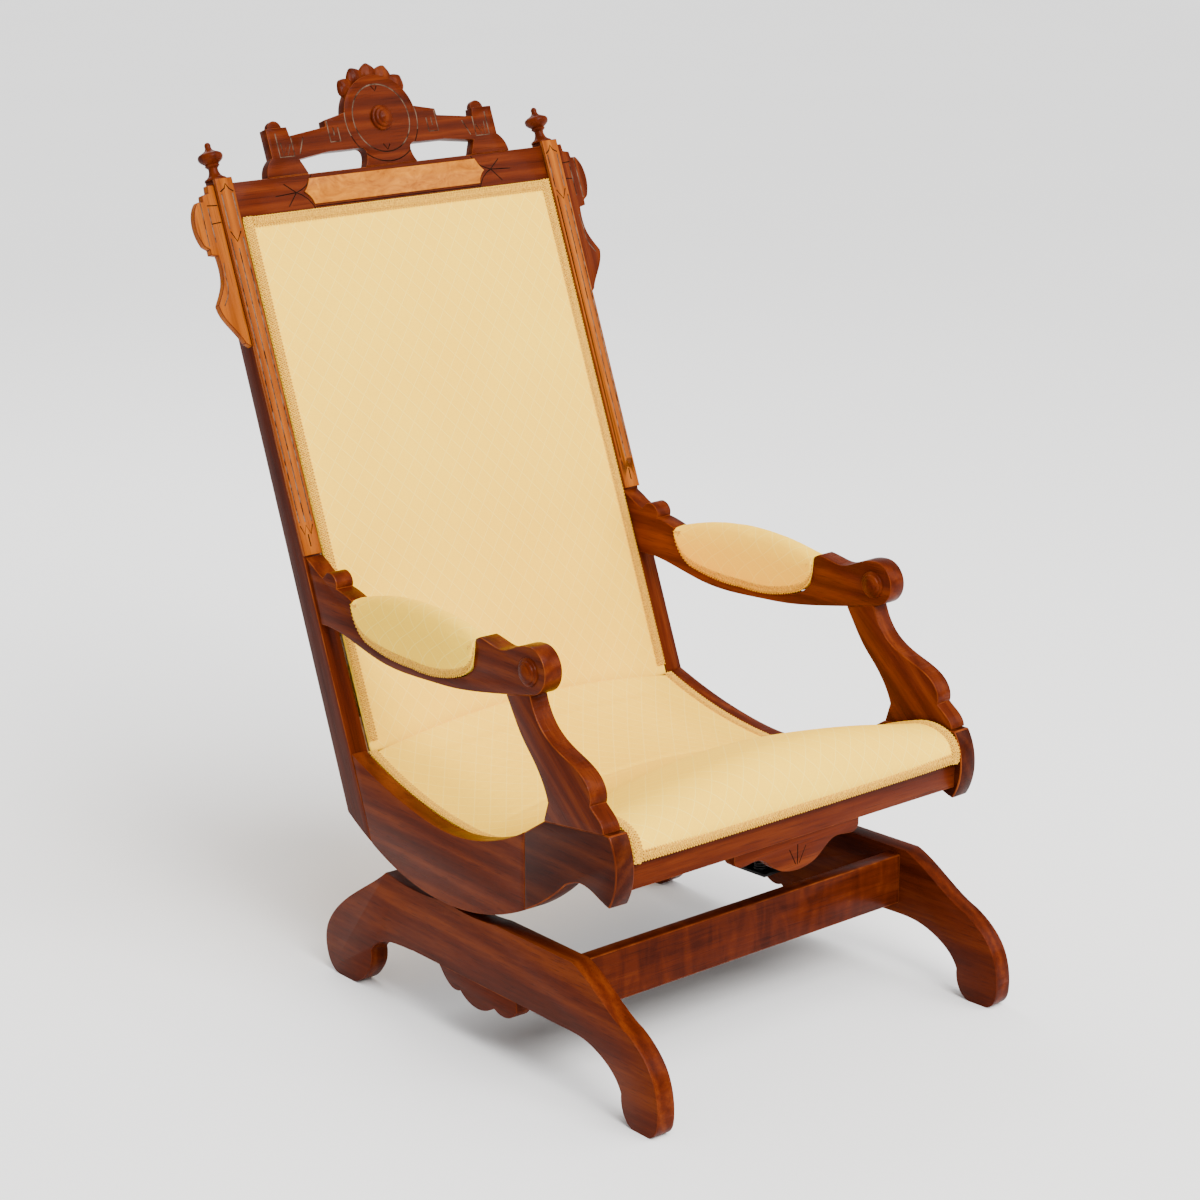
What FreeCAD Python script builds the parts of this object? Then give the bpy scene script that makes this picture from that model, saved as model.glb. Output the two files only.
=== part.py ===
import FreeCAD, Part
import math
import os
from types import SimpleNamespace
from FreeCAD import Placement, Rotation, Vector

# A late nineteenth century platform rocker in walnut, with an upholstered seat, back and arm pads.
# Millimetres, +Z up. The sitter faces -Y, so the sitter's left side is +X.
# Y is measured from the front face of the front blocks until the last step, which centres the chair.
# The back leans: its own frame has s up along the stiles and n out of their front face.

SIZES = {
    # plan of the chair
    "front_width": 610.0,
    "back_width": 573.0,
    "panel_setback": 1.0,
    # base
    "base_setback": 4.0,
    "base_thick": 26.0,
    "track_height": 175.0,
    "track_front": 78.0,
    "track_margin": 2.3,
    "base_depth": 89.0,
    "front_foot": -50.0,
    "rear_foot": 554.0,
    "foot_flat": 30.0,
    "drop_thick": 22.0,
    "drop_front": 187.0,
    "drop_length": 159.0,
    "drop_depth": 33.0,
    "stretcher_thick": 20.0,
    "stretcher_depth": 67.0,
    "stretcher_setdown": 7.0,
    "front_stretcher_place": 85.0,
    "rear_stretcher_place": 426.0,
    "rear_stretcher_depth": 52.0,
    # rocking
    "rocker_radius": 360.0,
    "contact_place": 330.0,
    "rock_back_angle": 10.0,
    "rock_front_angle": 8.0,
    "rock_gap": 0.3,
    # side panels and front blocks
    "panel_thick": 22.0,
    "panel_front": 164.0,
    "block_thick": 28.0,
    "block_top": 355.0,
    "nose_height": 266.0,
    "nose_bulge": 9.0,
    "hook_height": 281.0,
    "sill_rear": 318.0,
    "sill_low": 270.0,
    "sill_front": 315.0,
    # stiles and back frame
    "stile_width": 27.0,
    "stile_depth_low": 38.0,
    "stile_depth_top": 25.0,
    "stile_heel": 203.0,
    "stile_top": 1087.0,
    "stile_foot_place": 398.0,
    "lean_angle": 20.85,
    "facing_thick": 5.0,
    "facing_top": 1097.0,
    "cap_step": 5.0,
    "cap_inset": 3.0,
    "finial_height": 50.5,
    "finial_radius": 16.5,
    "ear_thick": 10.0,
    "ear_top": 1090.0,
    "ear_reach": 41.0,
    "crest_rail_low": 1012.0,
    "crest_rail_top": 1090.0,
    "rail_thick": 22.0,
    "burl_reach": 151.0,
    "burl_low": 1049.0,
    "burl_high": 1084.0,
    "burl_thick": 1.5,
    "crest_thick": 15.0,
    "crest_proud": 1.0,
    "crest_reach": 188.0,
    "crest_top": 1154.0,
    "roundel_radius": 59.0,
    "roundel_height": 1153.0,
    "button_radius": 11.0,
    "shell_thick": 16.0,
    "shell_proud": 3.0,
    "shell_top": 1230.0,
    "crest_boss_radius": 17.0,
    "crest_boss_height": 13.0,
    "lower_rail_low": 330.0,
    "lower_rail_depth": 55.0,
    "lower_rail_thick": 18.0,
    # arms
    "arm_thick": 26.0,
    "arm_proud": 1.5,
    "arm_rear_top": 559.0,
    "arm_rear_depth": 82.0,
    "arm_waist": 457.0,
    "arm_waist_depth": 11.0,
    "scroll_place": 151.0,
    "scroll_height": 518.0,
    "scroll_radius": 31.0,
    "pad_rear": 515.0,
    "pad_front": 254.0,
    "pad_crown": 551.0,
    "pad_bulge": 6.0,
    "pad_core_thick": 14.0,
    "pad_core_height": 500.0,
    "boss_radius": 17.5,
    "boss_height": 11.0,
    "stump_rear": 124.0,
    # front and rear seat rails
    "seat_rail_thick": 22.0,
    "seat_rail_low": 282.0,
    "seat_rail_top": 340.0,
    "pendant_reach": 106.0,
    "pendant_depth": 43.0,
    "pendant_thick": 18.0,
    "rear_rail_place": 469.0,
    "rear_rail_low": 232.0,
    "rear_rail_top": 268.0,
    # upholstery
    "seat_rear": 520.0,
    "seat_roll": 55.0,
    "seat_pad_thick": 25.0,
    "seat_crown": 30.0,
    "seat_front_low": 317.0,
    "seat_front_swell": 6.0,
    "back_pad_low": 350.0,
    "back_pad_high": 1043.0,
    "back_pad_inset": 2.7,
    "back_crown": 16.0,
    "gimp_width": 15.0,
    "gimp_thick": 2.5,
    "webbing_width": 40.0,
    "webbing_thick": 1.5,
    "batten_thick": 24.0,
    "batten_depth": 26.0,
    "corner_block": 45.0,
    "corner_block_height": 16.0,
    "cloth_thick": 1.2,
    "panel_board_thick": 2.5,
    # springs and their brackets
    "spring_radius": 8.5,
    "wire_radius": 1.5,
    "spring_pitch": 3.8,
    "spring_turns": 24.0,
    "spring_spacing": 26.0,
    "spring_standoff": 16.0,
    "spring_low": 90.0,
    "bracket_thick": 4.0,
    "bracket_width": 62.0,
    "bracket_flange": 24.0,
    "spigot_radius": 5.5,
    "spigot_height": 9.0,
    "screw_radius": 2.2,
    "screw_length": 16.0,
    "screw_spacing": 50.0,
    "screw_head_radius": 4.5,
    "screw_head_height": 2.5,
    # small clearances
    "fit_gap": 0.3,
}

doc = FreeCAD.newDocument("platform_rocker")
sheet = doc.addObject("Spreadsheet::Sheet", "Sizes")
for row, (name, value) in enumerate(SIZES.items(), start=1):
    sheet.set("A%d" % row, name)
    sheet.set("B%d" % row, str(value))
    sheet.setAlias("B%d" % row, name)
doc.recompute()
d = SimpleNamespace(**{name: float(sheet.get(name)) for name in SIZES})

LEFT = 1
RIGHT = -1
SIDES = ((LEFT, "left"), (RIGHT, "right"))
finished = []


# Frames and small helpers

stile_inner = d.back_width / 2 - d.stile_width
lean = math.radians(d.lean_angle)
side_run = d.stile_foot_place + d.sill_rear * math.tan(lean)
taper = math.atan((d.front_width / 2 - (d.back_width / 2 - d.panel_setback)) / side_run)
taper_degrees = math.degrees(taper)


def leaning(s, n):
    """The chair's Y and Z of a place in the leaning frame of the back."""
    y = d.stile_foot_place + s * math.sin(lean) - n * math.cos(lean)
    z = s * math.cos(lean) + n * math.sin(lean)
    return y, z


def stile_line(z, n):
    """Y on the plane n out of the stile faces, at height z."""
    return d.stile_foot_place + z * math.tan(lean) - n / math.cos(lean)


def rocker_line(y):
    """Height of the rocking arc under the side panels."""
    reach = y - d.contact_place
    return d.track_height + d.rocker_radius - math.sqrt(d.rocker_radius ** 2 - reach ** 2)


def side_place(side, half_width):
    """A tapered side plane, square to the chair's own side and inset to half_width."""
    turn = Rotation(Vector(0, 0, 1), side * taper_degrees)
    plane = Placement(Vector(side * d.front_width / 2, 0, 0), turn)
    return plane.multiply(Placement(Vector(side * (half_width - d.front_width / 2), 0, 0), Rotation()))


def lean_place(x, n):
    """The plane of the back, n out of the front of the stiles."""
    y, z = leaning(0, n)
    return Placement(Vector(x, y, z), Rotation(Vector(1, 0, 0), -d.lean_angle))


def inner_half(y, wall):
    """Half the clear width between the sides at y, where the side is wall thick."""
    return d.front_width / 2 - wall / math.cos(taper) - y * math.tan(taper)


def flat(points):
    return [Vector(p[0], p[1], 0) for p in points]


def outline(start, *steps):
    """Edges of a closed outline: a point is a straight run, arc and curve name their own points."""
    edges = []
    last = Vector(start[0], start[1], 0)
    for step in steps:
        if step[0] == "arc":
            via, end = flat(step[1:])
            edges.append(Part.Arc(last, via, end))
        elif step[0] == "curve":
            points = [last] + flat(step[1:])
            curve = Part.BSplineCurve()
            curve.interpolate(points)
            edges.append(curve)
            end = points[-1]
        else:
            end = Vector(step[0], step[1], 0)
            edges.append(Part.LineSegment(last, end))
        last = end
    first = Vector(start[0], start[1], 0)
    if last.distanceToPoint(first) > 1e-6:
        edges.append(Part.LineSegment(last, first))
    return edges


def origin_plane(body, role):
    return [plane for plane in body.Origin.OriginFeatures if plane.Role == role][0]


def sketch_on(body, role, edges, name):
    sketch = body.newObject("Sketcher::SketchObject", name)
    sketch.AttachmentSupport = (origin_plane(body, role), [""])
    sketch.MapMode = "FlatFace"
    sketch.addGeometry(edges, False)
    return sketch


def board(name, role, edges, thickness, place, reverse=False, middle=False):
    """A sawn board: an outline padded to a thickness from the sheet."""
    body = doc.addObject("PartDesign::Body", name)
    body.Label = name
    pad = body.newObject("PartDesign::Pad", name + "_pad")
    pad.Profile = sketch_on(body, role, edges, name + "_outline")
    pad.setExpression("Length", thickness)
    pad.Reversed = reverse
    pad.Midplane = middle
    body.Tip = pad
    body.Placement = place
    finished.append(body)
    return body


def side_board(name, side, edges, thickness, half_width):
    """A board in a tapered side plane, with its outer face half_width out at the front."""
    place = side_place(side, half_width)
    return board(name, "YZ_Plane", edges, thickness, place, reverse=side == LEFT)


def turning(name, profile, place):
    """A lathe turning about the upright axis of its own frame, kept as a body."""
    body = doc.addObject("PartDesign::Body", name)
    body.Label = name
    turn = body.newObject("PartDesign::Revolution", name + "_turning")
    sketch = sketch_on(body, "XZ_Plane", profile, name + "_profile")
    turn.Profile = sketch
    turn.ReferenceAxis = (sketch, ["V_Axis"])
    turn.Angle = 360
    body.Tip = turn
    body.Placement = place
    finished.append(body)
    return body


def solid_piece(name, shape):
    """A piece whose shape comes straight from lofts, sweeps and booleans."""
    piece = doc.addObject("Part::Feature", name)
    piece.Label = name
    piece.Shape = shape
    finished.append(piece)
    return piece


def box_between(low, high):
    size = [b - a for a, b in zip(low, high)]
    return Part.makeBox(size[0], size[1], size[2], Vector(*low))


# Base: two side frames, their scalloped drops and two stretchers

base_half = d.front_width / 2 - d.base_setback


def hollow(angle, direction):
    """End, lowest point and depth of the shallow hollow that the rocker dips into on one side."""
    radius = d.rocker_radius + d.rock_gap
    tilt = math.radians(angle)
    centre_y = d.contact_place + direction * d.rocker_radius * math.sin(tilt)
    centre_z = d.track_height + d.rocker_radius * math.cos(tilt)
    half_chord = math.sqrt(radius ** 2 - (centre_z - d.track_height) ** 2)
    end = (centre_y + direction * half_chord, d.track_height)
    low = (centre_y, centre_z - radius)
    crown_z = centre_z - math.sqrt(radius ** 2 - (d.contact_place - centre_y) ** 2)
    return end, low, crown_z


def base_outline():
    top = d.track_height
    under = top - d.base_depth
    front_end, front_low, crown_z = hollow(d.rock_front_angle, -1)
    rear_end, rear_low, rear_crown_z = hollow(d.rock_back_angle, 1)
    crown = (d.contact_place, min(crown_z, rear_crown_z))
    front_toe = d.front_foot - d.foot_flat / 2
    front_heel = d.front_foot + d.foot_flat / 2
    rear_toe = d.rear_foot + d.foot_flat / 2
    rear_heel = d.rear_foot - d.foot_flat / 2
    track_rear = rear_end[0] + d.track_margin
    return outline(
        (d.track_front, top),
        front_end,
        ("arc", front_low, crown),
        ("arc", rear_low, rear_end),
        (track_rear, top),
        ("curve", (track_rear + 61, top - 42), (track_rear + 102, top - 72),
         (rear_toe + 17, 77), (rear_toe + 29, 53), (rear_toe + 29, 30), (rear_toe + 17, 7), (rear_toe, 0)),
        (rear_heel, 0),
        ("curve", (rear_heel - 16, 6), (rear_heel - 33, 22), (rear_heel - 43, 40), (rear_heel - 43, 57)),
        ("curve", (rear_heel - 56, 70), (track_rear - 16, under - 3), (track_rear - 59, under)),
        (d.track_front + 58, under),
        ("curve", (d.track_front + 11, under), (d.track_front - 27, under - 3), (front_heel + 58, 73),
         (front_heel + 35, 58), (front_heel + 21, 39)),
        ("curve", (front_heel + 20, 24), (front_heel + 13, 9), (front_heel, 0)),
        (front_toe, 0),
        ("curve", (front_toe - 13, 12), (front_toe - 16, 28), (front_toe - 14, 53), (front_toe - 5, 78),
         (front_toe + 18, 104), (front_toe + 42, 119)),
        ("curve", (d.track_front - 69, top - 40), (d.track_front - 27, top - 13), (d.track_front, top)),
    )


def drop_outline():
    top = d.track_height - d.base_depth
    front = d.drop_front
    rear = front + d.drop_length
    low = top - d.drop_depth
    return outline(
        (front, top),
        (rear, top),
        ("curve", (rear - 13, top - 14), (rear - 29, top - 23), (rear - 44, top - 21)),
        ("arc", (rear - 90, low), (front + 46, top - 22)),
        ("curve", (front + 32, top - 27), (front + 15, top - 25), (front, top - 13)),
    )


def stretcher(name, place, depth):
    """A board across the base, cut to the tapered frames."""
    top = d.track_height - d.stretcher_setdown
    low = top - depth
    front_half = base_half - d.base_thick / math.cos(taper) - place * math.tan(taper) - d.fit_gap
    rear_half = front_half - d.stretcher_thick * math.tan(taper)
    rear = place + d.stretcher_thick
    edges = outline((-front_half, place), (front_half, place), (rear_half, rear), (-rear_half, rear))
    lift = Placement(Vector(0, 0, low), Rotation())
    length = "Sizes.stretcher_depth" if depth == d.stretcher_depth else "Sizes.rear_stretcher_depth"
    return board(name, "XY_Plane", edges, length, lift)


for side, word in SIDES:
    side_board("base_side_" + word, side, base_outline(), "Sizes.base_thick", base_half)
    side_board("base_drop_" + word, side, drop_outline(), "Sizes.drop_thick", base_half)
stretcher("front_stretcher", d.front_stretcher_place, d.stretcher_depth)
stretcher("rear_stretcher", d.rear_stretcher_place, d.rear_stretcher_depth)


# Chair sides: rocker panels, front blocks, stumps and arms

chair_half = d.front_width / 2
arm_half = chair_half + d.arm_proud


def stile_front(z):
    """Where a side board ends against the stile, at height z."""
    return stile_line(z, -d.facing_thick) - d.fit_gap


def stile_meets_arc():
    """The point where the stile's front edge runs into the rocking arc."""
    z = rocker_line(d.contact_place + d.stile_heel)
    for _ in range(40):
        z = rocker_line(stile_front(z))
    return stile_front(z), z


def panel_outline():
    heel_y, heel_z = stile_meets_arc()
    mid = (d.contact_place, d.track_height)
    front = d.panel_front
    span = stile_front(d.sill_rear) - front
    low_place = front + 0.42 * span
    return outline(
        (front, rocker_line(front)),
        ("arc", mid, (heel_y, heel_z)),
        (stile_front(d.sill_rear), d.sill_rear),
        ("curve", (stile_front(d.sill_rear) - 50, d.sill_rear - 18), (low_place + 68, d.sill_low + 7),
         (low_place, d.sill_low), (low_place - 72, d.sill_low + 11), (front, d.sill_front)),
    )


def block_outline():
    """The front block: its hooked foot, bulging front and the shoulder that carries the stump."""
    front = d.panel_front
    arc_end = (front - 79, rocker_line(front - 79))
    mid = (front - 40, rocker_line(front - 40))
    return outline(
        (front, rocker_line(front)),
        ("arc", mid, arc_end),
        ("curve", (front - 91, d.hook_height - 4), (front - 107, d.hook_height),
         (front - 130, d.hook_height - 4), (front - 145, d.hook_height - 10), (4, d.nose_height)),
        ("arc", (-d.nose_bulge, (d.nose_height + d.block_top) / 2 - 6), (4, d.block_top)),
        (12, d.block_top),
        (d.stump_rear, d.block_top - 14),
        (front, d.sill_front),
    )


arm_low = d.arm_rear_top - d.arm_rear_depth
scroll_under = (d.scroll_place - 9, d.scroll_height - 26)
stump_back = (d.scroll_place + 44, d.scroll_height - 38)


def arm_seat(y):
    """A point at y on the straight joint between an arm and its stump."""
    share = (y - scroll_under[0]) / (stump_back[0] - scroll_under[0])
    return y, scroll_under[1] + share * (stump_back[1] - scroll_under[1])


def stump_outline():
    """The scrolled arm support, standing on the block's shoulder and reaching the arm."""
    shoulder = d.block_top
    return outline(
        (12, shoulder),
        ("curve", (15, shoulder + 9), (25, shoulder + 19), (37, shoulder + 28)),
        ("curve", (37, shoulder + 42), (45, shoulder + 55), (61, shoulder + 66), (81, shoulder + 74),
         (108, shoulder + 85), (129, shoulder + 100), (141, shoulder + 116), arm_seat(149)),
        stump_back,
        ("curve", (180, shoulder + 101), (163, shoulder + 77), (146, shoulder + 59), (128, shoulder + 36),
         (116, shoulder + 11)),
        (d.stump_rear, shoulder - 14),
    )


def arm_outline():
    """The side view of an arm, with the hollow that the pad fills."""
    rear_top = stile_front(d.arm_rear_top)
    rear_low = stile_front(arm_low)
    top = d.arm_rear_top
    centre_y = d.scroll_place
    centre_z = d.scroll_height
    radius = d.scroll_radius
    hollow_low = d.arm_waist + d.arm_waist_depth
    return outline(
        (rear_top, top),
        (rear_top - 16, top - 8),
        ("curve", (rear_top - 26, top - 14), (rear_top - 38, top - 19)),
        (rear_top - 44, top - 13),
        ("curve", (rear_top - 56, top - 9), (rear_top - 66, top - 15), (rear_top - 68, top - 27)),
        ("curve", (rear_top - 84, top - 30), (d.pad_rear, top - 35)),
        ("curve", (d.pad_rear - 13, top - 67), (d.pad_rear - 32, top - 81), (d.pad_rear - 59, hollow_low + 3),
         (d.pad_rear - 105, hollow_low), (d.pad_rear - 154, hollow_low - 1), (d.pad_rear - 202, hollow_low + 4),
         (d.pad_front + 26, hollow_low + 13), (d.pad_front + 6, hollow_low + 28)),
        (d.pad_front, centre_z + 17),
        (d.pad_front - 8, centre_z + 21),
        ("curve", (centre_y + 72, centre_z + 17), (centre_y + 55, centre_z + 15),
         (centre_y + 28, centre_z + 24), (centre_y + 2, centre_z + radius)),
        ("arc", (centre_y - radius, centre_z), scroll_under),
        stump_back,
        ("curve", (centre_y + 101, centre_z - 49), (centre_y + 148, d.arm_waist + 5),
         (centre_y + 207, d.arm_waist + 1), (centre_y + 260, d.arm_waist - 1),
         (centre_y + 306, d.arm_waist + 2), (centre_y + 352, d.arm_waist + 11),
         (centre_y + 394, arm_low - 1), (rear_low, arm_low)),
    )


def pad_core_outline():
    """The tongue of the arm that the pad wraps around."""
    low = d.arm_waist + d.arm_waist_depth
    return outline(
        (d.pad_rear - 62, low - 4),
        (d.pad_front + 40, low - 4),
        (d.pad_front + 40, d.pad_core_height - 6),
        ("arc", ((d.pad_rear + d.pad_front) / 2, d.pad_core_height), (d.pad_rear - 62, d.pad_core_height - 6)),
    )


def arm(name, side):
    """An arm board with a thinner tongue standing in its hollow."""
    body = side_board(name, side, arm_outline(), "Sizes.arm_thick", arm_half)
    core = body.newObject("PartDesign::Pad", name + "_tongue")
    sketch = sketch_on(body, "YZ_Plane", pad_core_outline(), name + "_tongue_outline")
    inset = (d.arm_thick - d.pad_core_thick) / 2
    sketch.AttachmentOffset = Placement(Vector(0, 0, -side * inset), Rotation())
    core.Profile = sketch
    core.setExpression("Length", "Sizes.pad_core_thick")
    core.Reversed = side == LEFT
    body.Tip = core
    return body


BOSS_STEPS = ((1.0, 0.0), (1.0, 0.12), (0.97, 0.28), (0.8, 0.36), (0.76, 0.55), (0.55, 0.66),
              (0.42, 0.86), (0.2, 0.98))


def boss_shape(radius, height):
    """A turned boss with two rings and a button, standing on the XY plane."""
    profile = Part.Wire([curve.toShape() for curve in boss_profile(radius, height)])
    face = Part.Face(profile)
    face.rotate(Vector(0, 0, 0), Vector(1, 0, 0), 90)
    return face.revolve(Vector(0, 0, 0), Vector(0, 0, 1), 360)


def boss_profile(radius, height):
    points = [(radius * r, height * h) for r, h in BOSS_STEPS]
    return outline((0, 0), *points, ("curve", (radius * 0.1, height * 0.995), (0, height)))


def arm_bosses(name, side):
    """The pair of bosses on the outer and inner faces of an arm scroll."""
    faces = []
    for distance, outward in ((0, 1), (-d.arm_thick, -1)):
        boss = boss_shape(d.boss_radius, d.boss_height)
        boss.rotate(Vector(0, 0, 0), Vector(0, 1, 0), side * outward * 90)
        boss.translate(Vector(side * distance, d.scroll_place, d.scroll_height))
        boss.Placement = side_place(side, arm_half).multiply(boss.Placement)
        faces.append(boss)
    return solid_piece(name, Part.makeCompound(faces))


for side, word in SIDES:
    side_board("rocker_panel_" + word, side, panel_outline(), "Sizes.panel_thick", chair_half)
    side_board("front_block_" + word, side, block_outline(), "Sizes.block_thick", chair_half)
    side_board("arm_stump_" + word, side, stump_outline(), "Sizes.arm_thick", arm_half)
    arm("arm_" + word, side)
    arm_bosses("arm_bosses_" + word, side)


# Back frame: stiles, facings, caps, finials, ears and rails

stile_middle = d.back_width / 2 - d.stile_width / 2


def stile_outline():
    """Side view of a stile in its own upright frame: the foot carries on the rocking arc."""
    heel_place = d.contact_place + d.stile_heel
    toe_y, toe_z = stile_meets_arc()
    toe_y = toe_y + d.fit_gap
    heel = (heel_place, rocker_line(heel_place))
    middle = (heel_place + toe_y) / 2
    top_front = leaning(d.stile_top, -d.facing_thick)
    top_rear = leaning(d.stile_top, -d.facing_thick - d.stile_depth_top)
    return outline((toe_y, toe_z), ("arc", (middle, rocker_line(middle)), heel), top_rear, top_front)


def facing_edges(low):
    half = d.stile_width / 2
    return outline((-half, low), (half, low), (half, d.facing_top), (-half, d.facing_top))


EAR_POINTS = ((10, 0), (11, -10), (21, -12), (22, -20), (30, -20))


def ear_outline(side):
    """The scroll-sawn bracket outside a stile: stepped top, round lobe and a pointed wing."""
    reach = d.ear_reach
    top = d.ear_top

    def p(across, down):
        return side * across, top + down

    return outline(
        p(0, 0), *[p(*point) for point in EAR_POINTS],
        ("curve", p(35, -26), p(reach, -44), p(reach, -58), p(35, -77)),
        p(28, -82), p(28, -89), p(18, -91),
        ("curve", p(17, -112), p(20, -128), p(26, -140), p(35, -154)),
        ("curve", p(32, -167), p(22, -184), p(8, -207)),
        p(0, -213),
    )


FINIAL_STEPS = ((0.88, 0.0), (0.88, 0.05), (0.6, 0.1), (0.38, 0.2), (0.33, 0.3), (0.5, 0.37), (0.55, 0.43),
                (0.85, 0.5), (1.0, 0.6), (0.88, 0.7), (0.5, 0.77), (0.3, 0.83), (0.18, 0.9), (0.2, 0.95))


for side, word in SIDES:
    upright = Placement(Vector(side * stile_middle, 0, 0), Rotation())
    board("stile_" + word, "YZ_Plane", stile_outline(), "Sizes.stile_width", upright, middle=True)
    facing_low = d.arm_rear_top / math.cos(lean) + 3
    board("stile_facing_" + word, "XZ_Plane", facing_edges(facing_low), "Sizes.facing_thick",
          lean_place(side * stile_middle, -d.facing_thick))
    ear_place = lean_place(side * d.back_width / 2, -d.facing_thick - d.ear_thick)
    board("ear_bracket_" + word, "XZ_Plane", ear_outline(side), "Sizes.ear_thick", ear_place)

    def cap_plate(inset, step):
        half = d.stile_width / 2 - inset
        low = d.stile_top + step * d.cap_step
        return box_between((-half, 0, low), (half, d.stile_depth_top - inset, low + d.cap_step))

    cap = cap_plate(0, 0).fuse(cap_plate(d.cap_inset, 1)).removeSplitter()
    cap.Placement = lean_place(side * stile_middle, -d.facing_thick)
    solid_piece("stile_cap_" + word, cap)
    finial_seat = d.stile_top + 2 * d.cap_step
    finial_y, finial_z = leaning(finial_seat, -d.facing_thick - d.stile_depth_top / 2)
    finial_place = Placement(Vector(side * stile_middle, finial_y, finial_z),
                             Rotation(Vector(1, 0, 0), -d.lean_angle))
    finial_points = [(d.finial_radius * r, d.finial_height * h) for r, h in FINIAL_STEPS]
    finial_profile = outline((0, 0), finial_points[0], finial_points[1],
                             ("curve", *finial_points[2:], (0, d.finial_height)))
    turning("finial_" + word, finial_profile, finial_place)


def rail_edges(half, low, high):
    return outline((-half, low), (half, low), (half, high), (-half, high))


rail_half = stile_inner - d.fit_gap
board("crest_rail", "XZ_Plane", rail_edges(rail_half, d.crest_rail_low, d.crest_rail_top),
      "Sizes.rail_thick", lean_place(0, -d.facing_thick - d.rail_thick))
board("back_lower_rail", "XZ_Plane",
      rail_edges(rail_half, d.lower_rail_low, d.lower_rail_low + d.lower_rail_depth),
      "Sizes.lower_rail_thick", lean_place(0, -d.facing_thick - d.rail_thick))


def burl_outline():
    """The pointed inlay panel on the crest rail, with hollow curves either side of each point."""
    reach = d.burl_reach
    low = d.burl_low
    high = d.burl_high
    middle = (low + high) / 2
    corner = reach - 12
    return outline(
        (-corner, low), (corner, low),
        ("arc", (reach - 8, low + 10), (reach, middle)),
        ("arc", (reach - 8, high - 8), (corner, high)),
        (-corner, high),
        ("arc", (-reach + 8, high - 8), (-reach, middle)),
        ("arc", (-reach + 8, low + 10), (-corner, low)),
    )


board("burl_panel", "XZ_Plane", burl_outline(), "Sizes.burl_thick", lean_place(0, -d.facing_thick))


# Pierced crest: stepped side blocks, arms, roundel, leaf and boss

crest_front = d.crest_proud - d.facing_thick


def crest_outline():
    """Outer edge of the pierced crest board, from its right foot round to its left foot."""
    foot = d.crest_rail_top
    top = d.crest_top
    reach = d.crest_reach
    centre = d.roundel_height
    radius = d.roundel_radius
    shoulder_z = centre + 12
    shoulder_x = math.sqrt(radius ** 2 - (shoulder_z - centre) ** 2)

    def half(mirror):
        return [
            (mirror * (reach + 14), foot),
            (mirror * reach, foot + 25),
            (mirror * reach, top),
            (mirror * (reach - 33), top),
            (mirror * (reach - 35), top - 12),
            (mirror * (reach - 95), top - 5),
            (mirror * (reach - 96), top + 4),
            (mirror * shoulder_x, shoulder_z),
        ]

    right = half(-1)
    left = half(1)
    return outline(
        right[0],
        ("curve", (-reach - 10, foot + 14), right[1]),
        *right[2:],
        ("arc", (0, centre + radius), left[7]),
        left[6], left[5], left[4], left[3], left[2], left[1],
        ("curve", (reach + 10, foot + 14), left[0]),
    )


def window_wire(mirror):
    """One of the two openings between the arms and the rail."""
    foot = d.crest_rail_top
    outer = d.crest_reach - 42
    inner = 40.0
    return outline(
        (mirror * (outer - 10), foot - 1),
        ("curve", (mirror * (outer - 4), foot + 12), (mirror * outer, foot + 20)),
        (mirror * 98, foot + 26),
        (mirror * 50, foot + 26),
        ("curve", (mirror * 37, foot + 20), (mirror * 37, foot + 14), (mirror * (inner + 4), foot - 1)),
    )


def crest_board():
    """The pierced board with a half-round button standing behind each side block."""
    body = board("crest_board", "XZ_Plane", crest_outline(), "Sizes.crest_thick",
                 lean_place(0, crest_front - d.crest_thick))
    windows = body.newObject("PartDesign::Pocket", "crest_windows")
    sketch = sketch_on(body, "XZ_Plane", window_wire(-1) + window_wire(1), "crest_window_outline")
    windows.Profile = sketch
    windows.Type = "ThroughAll"
    windows.Midplane = True
    buttons = body.newObject("PartDesign::Pad", "crest_buttons")
    middle = d.crest_reach - 19
    top = d.crest_top
    round_tops = []
    for mirror in (-1, 1):
        centre = mirror * middle
        low = top - 8
        round_tops += outline((centre - d.button_radius, low), (centre + d.button_radius, low),
                              (centre + d.button_radius, top),
                              ("arc", (centre, top + d.button_radius), (centre - d.button_radius, top)))
    buttons.Profile = sketch_on(body, "XZ_Plane", round_tops, "crest_button_outline")
    buttons.setExpression("Length", "Sizes.crest_thick * 0.55")
    body.Tip = buttons
    return body


def shell_outline():
    """Five pointed lobes fanned over the roundel."""
    centre = d.roundel_height
    radius = d.roundel_radius + d.fit_gap
    lobes = 5
    spread = math.radians(50)
    reach = d.shell_top - centre
    valley = (radius + reach) / 2 - 2
    step = 2 * spread / (lobes - 1) * 0.86

    def ray(angle, length):
        return length * math.sin(angle), centre + length * math.cos(angle)

    edge = spread * 0.86 + step / 2
    steps = [ray(-edge, radius + 6)]
    start = ray(-edge, radius)
    for lobe in range(lobes):
        angle = -spread * 0.86 + lobe * step
        tall = reach - 7 * abs(lobe - 2)
        end = ray(angle + step / 2, valley if lobe < lobes - 1 else radius + 6)
        steps.append(("arc", ray(angle, tall), end))
    steps.append(ray(edge, radius))
    return outline(start, *steps, ("arc", ray(0, radius), start))


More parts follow.
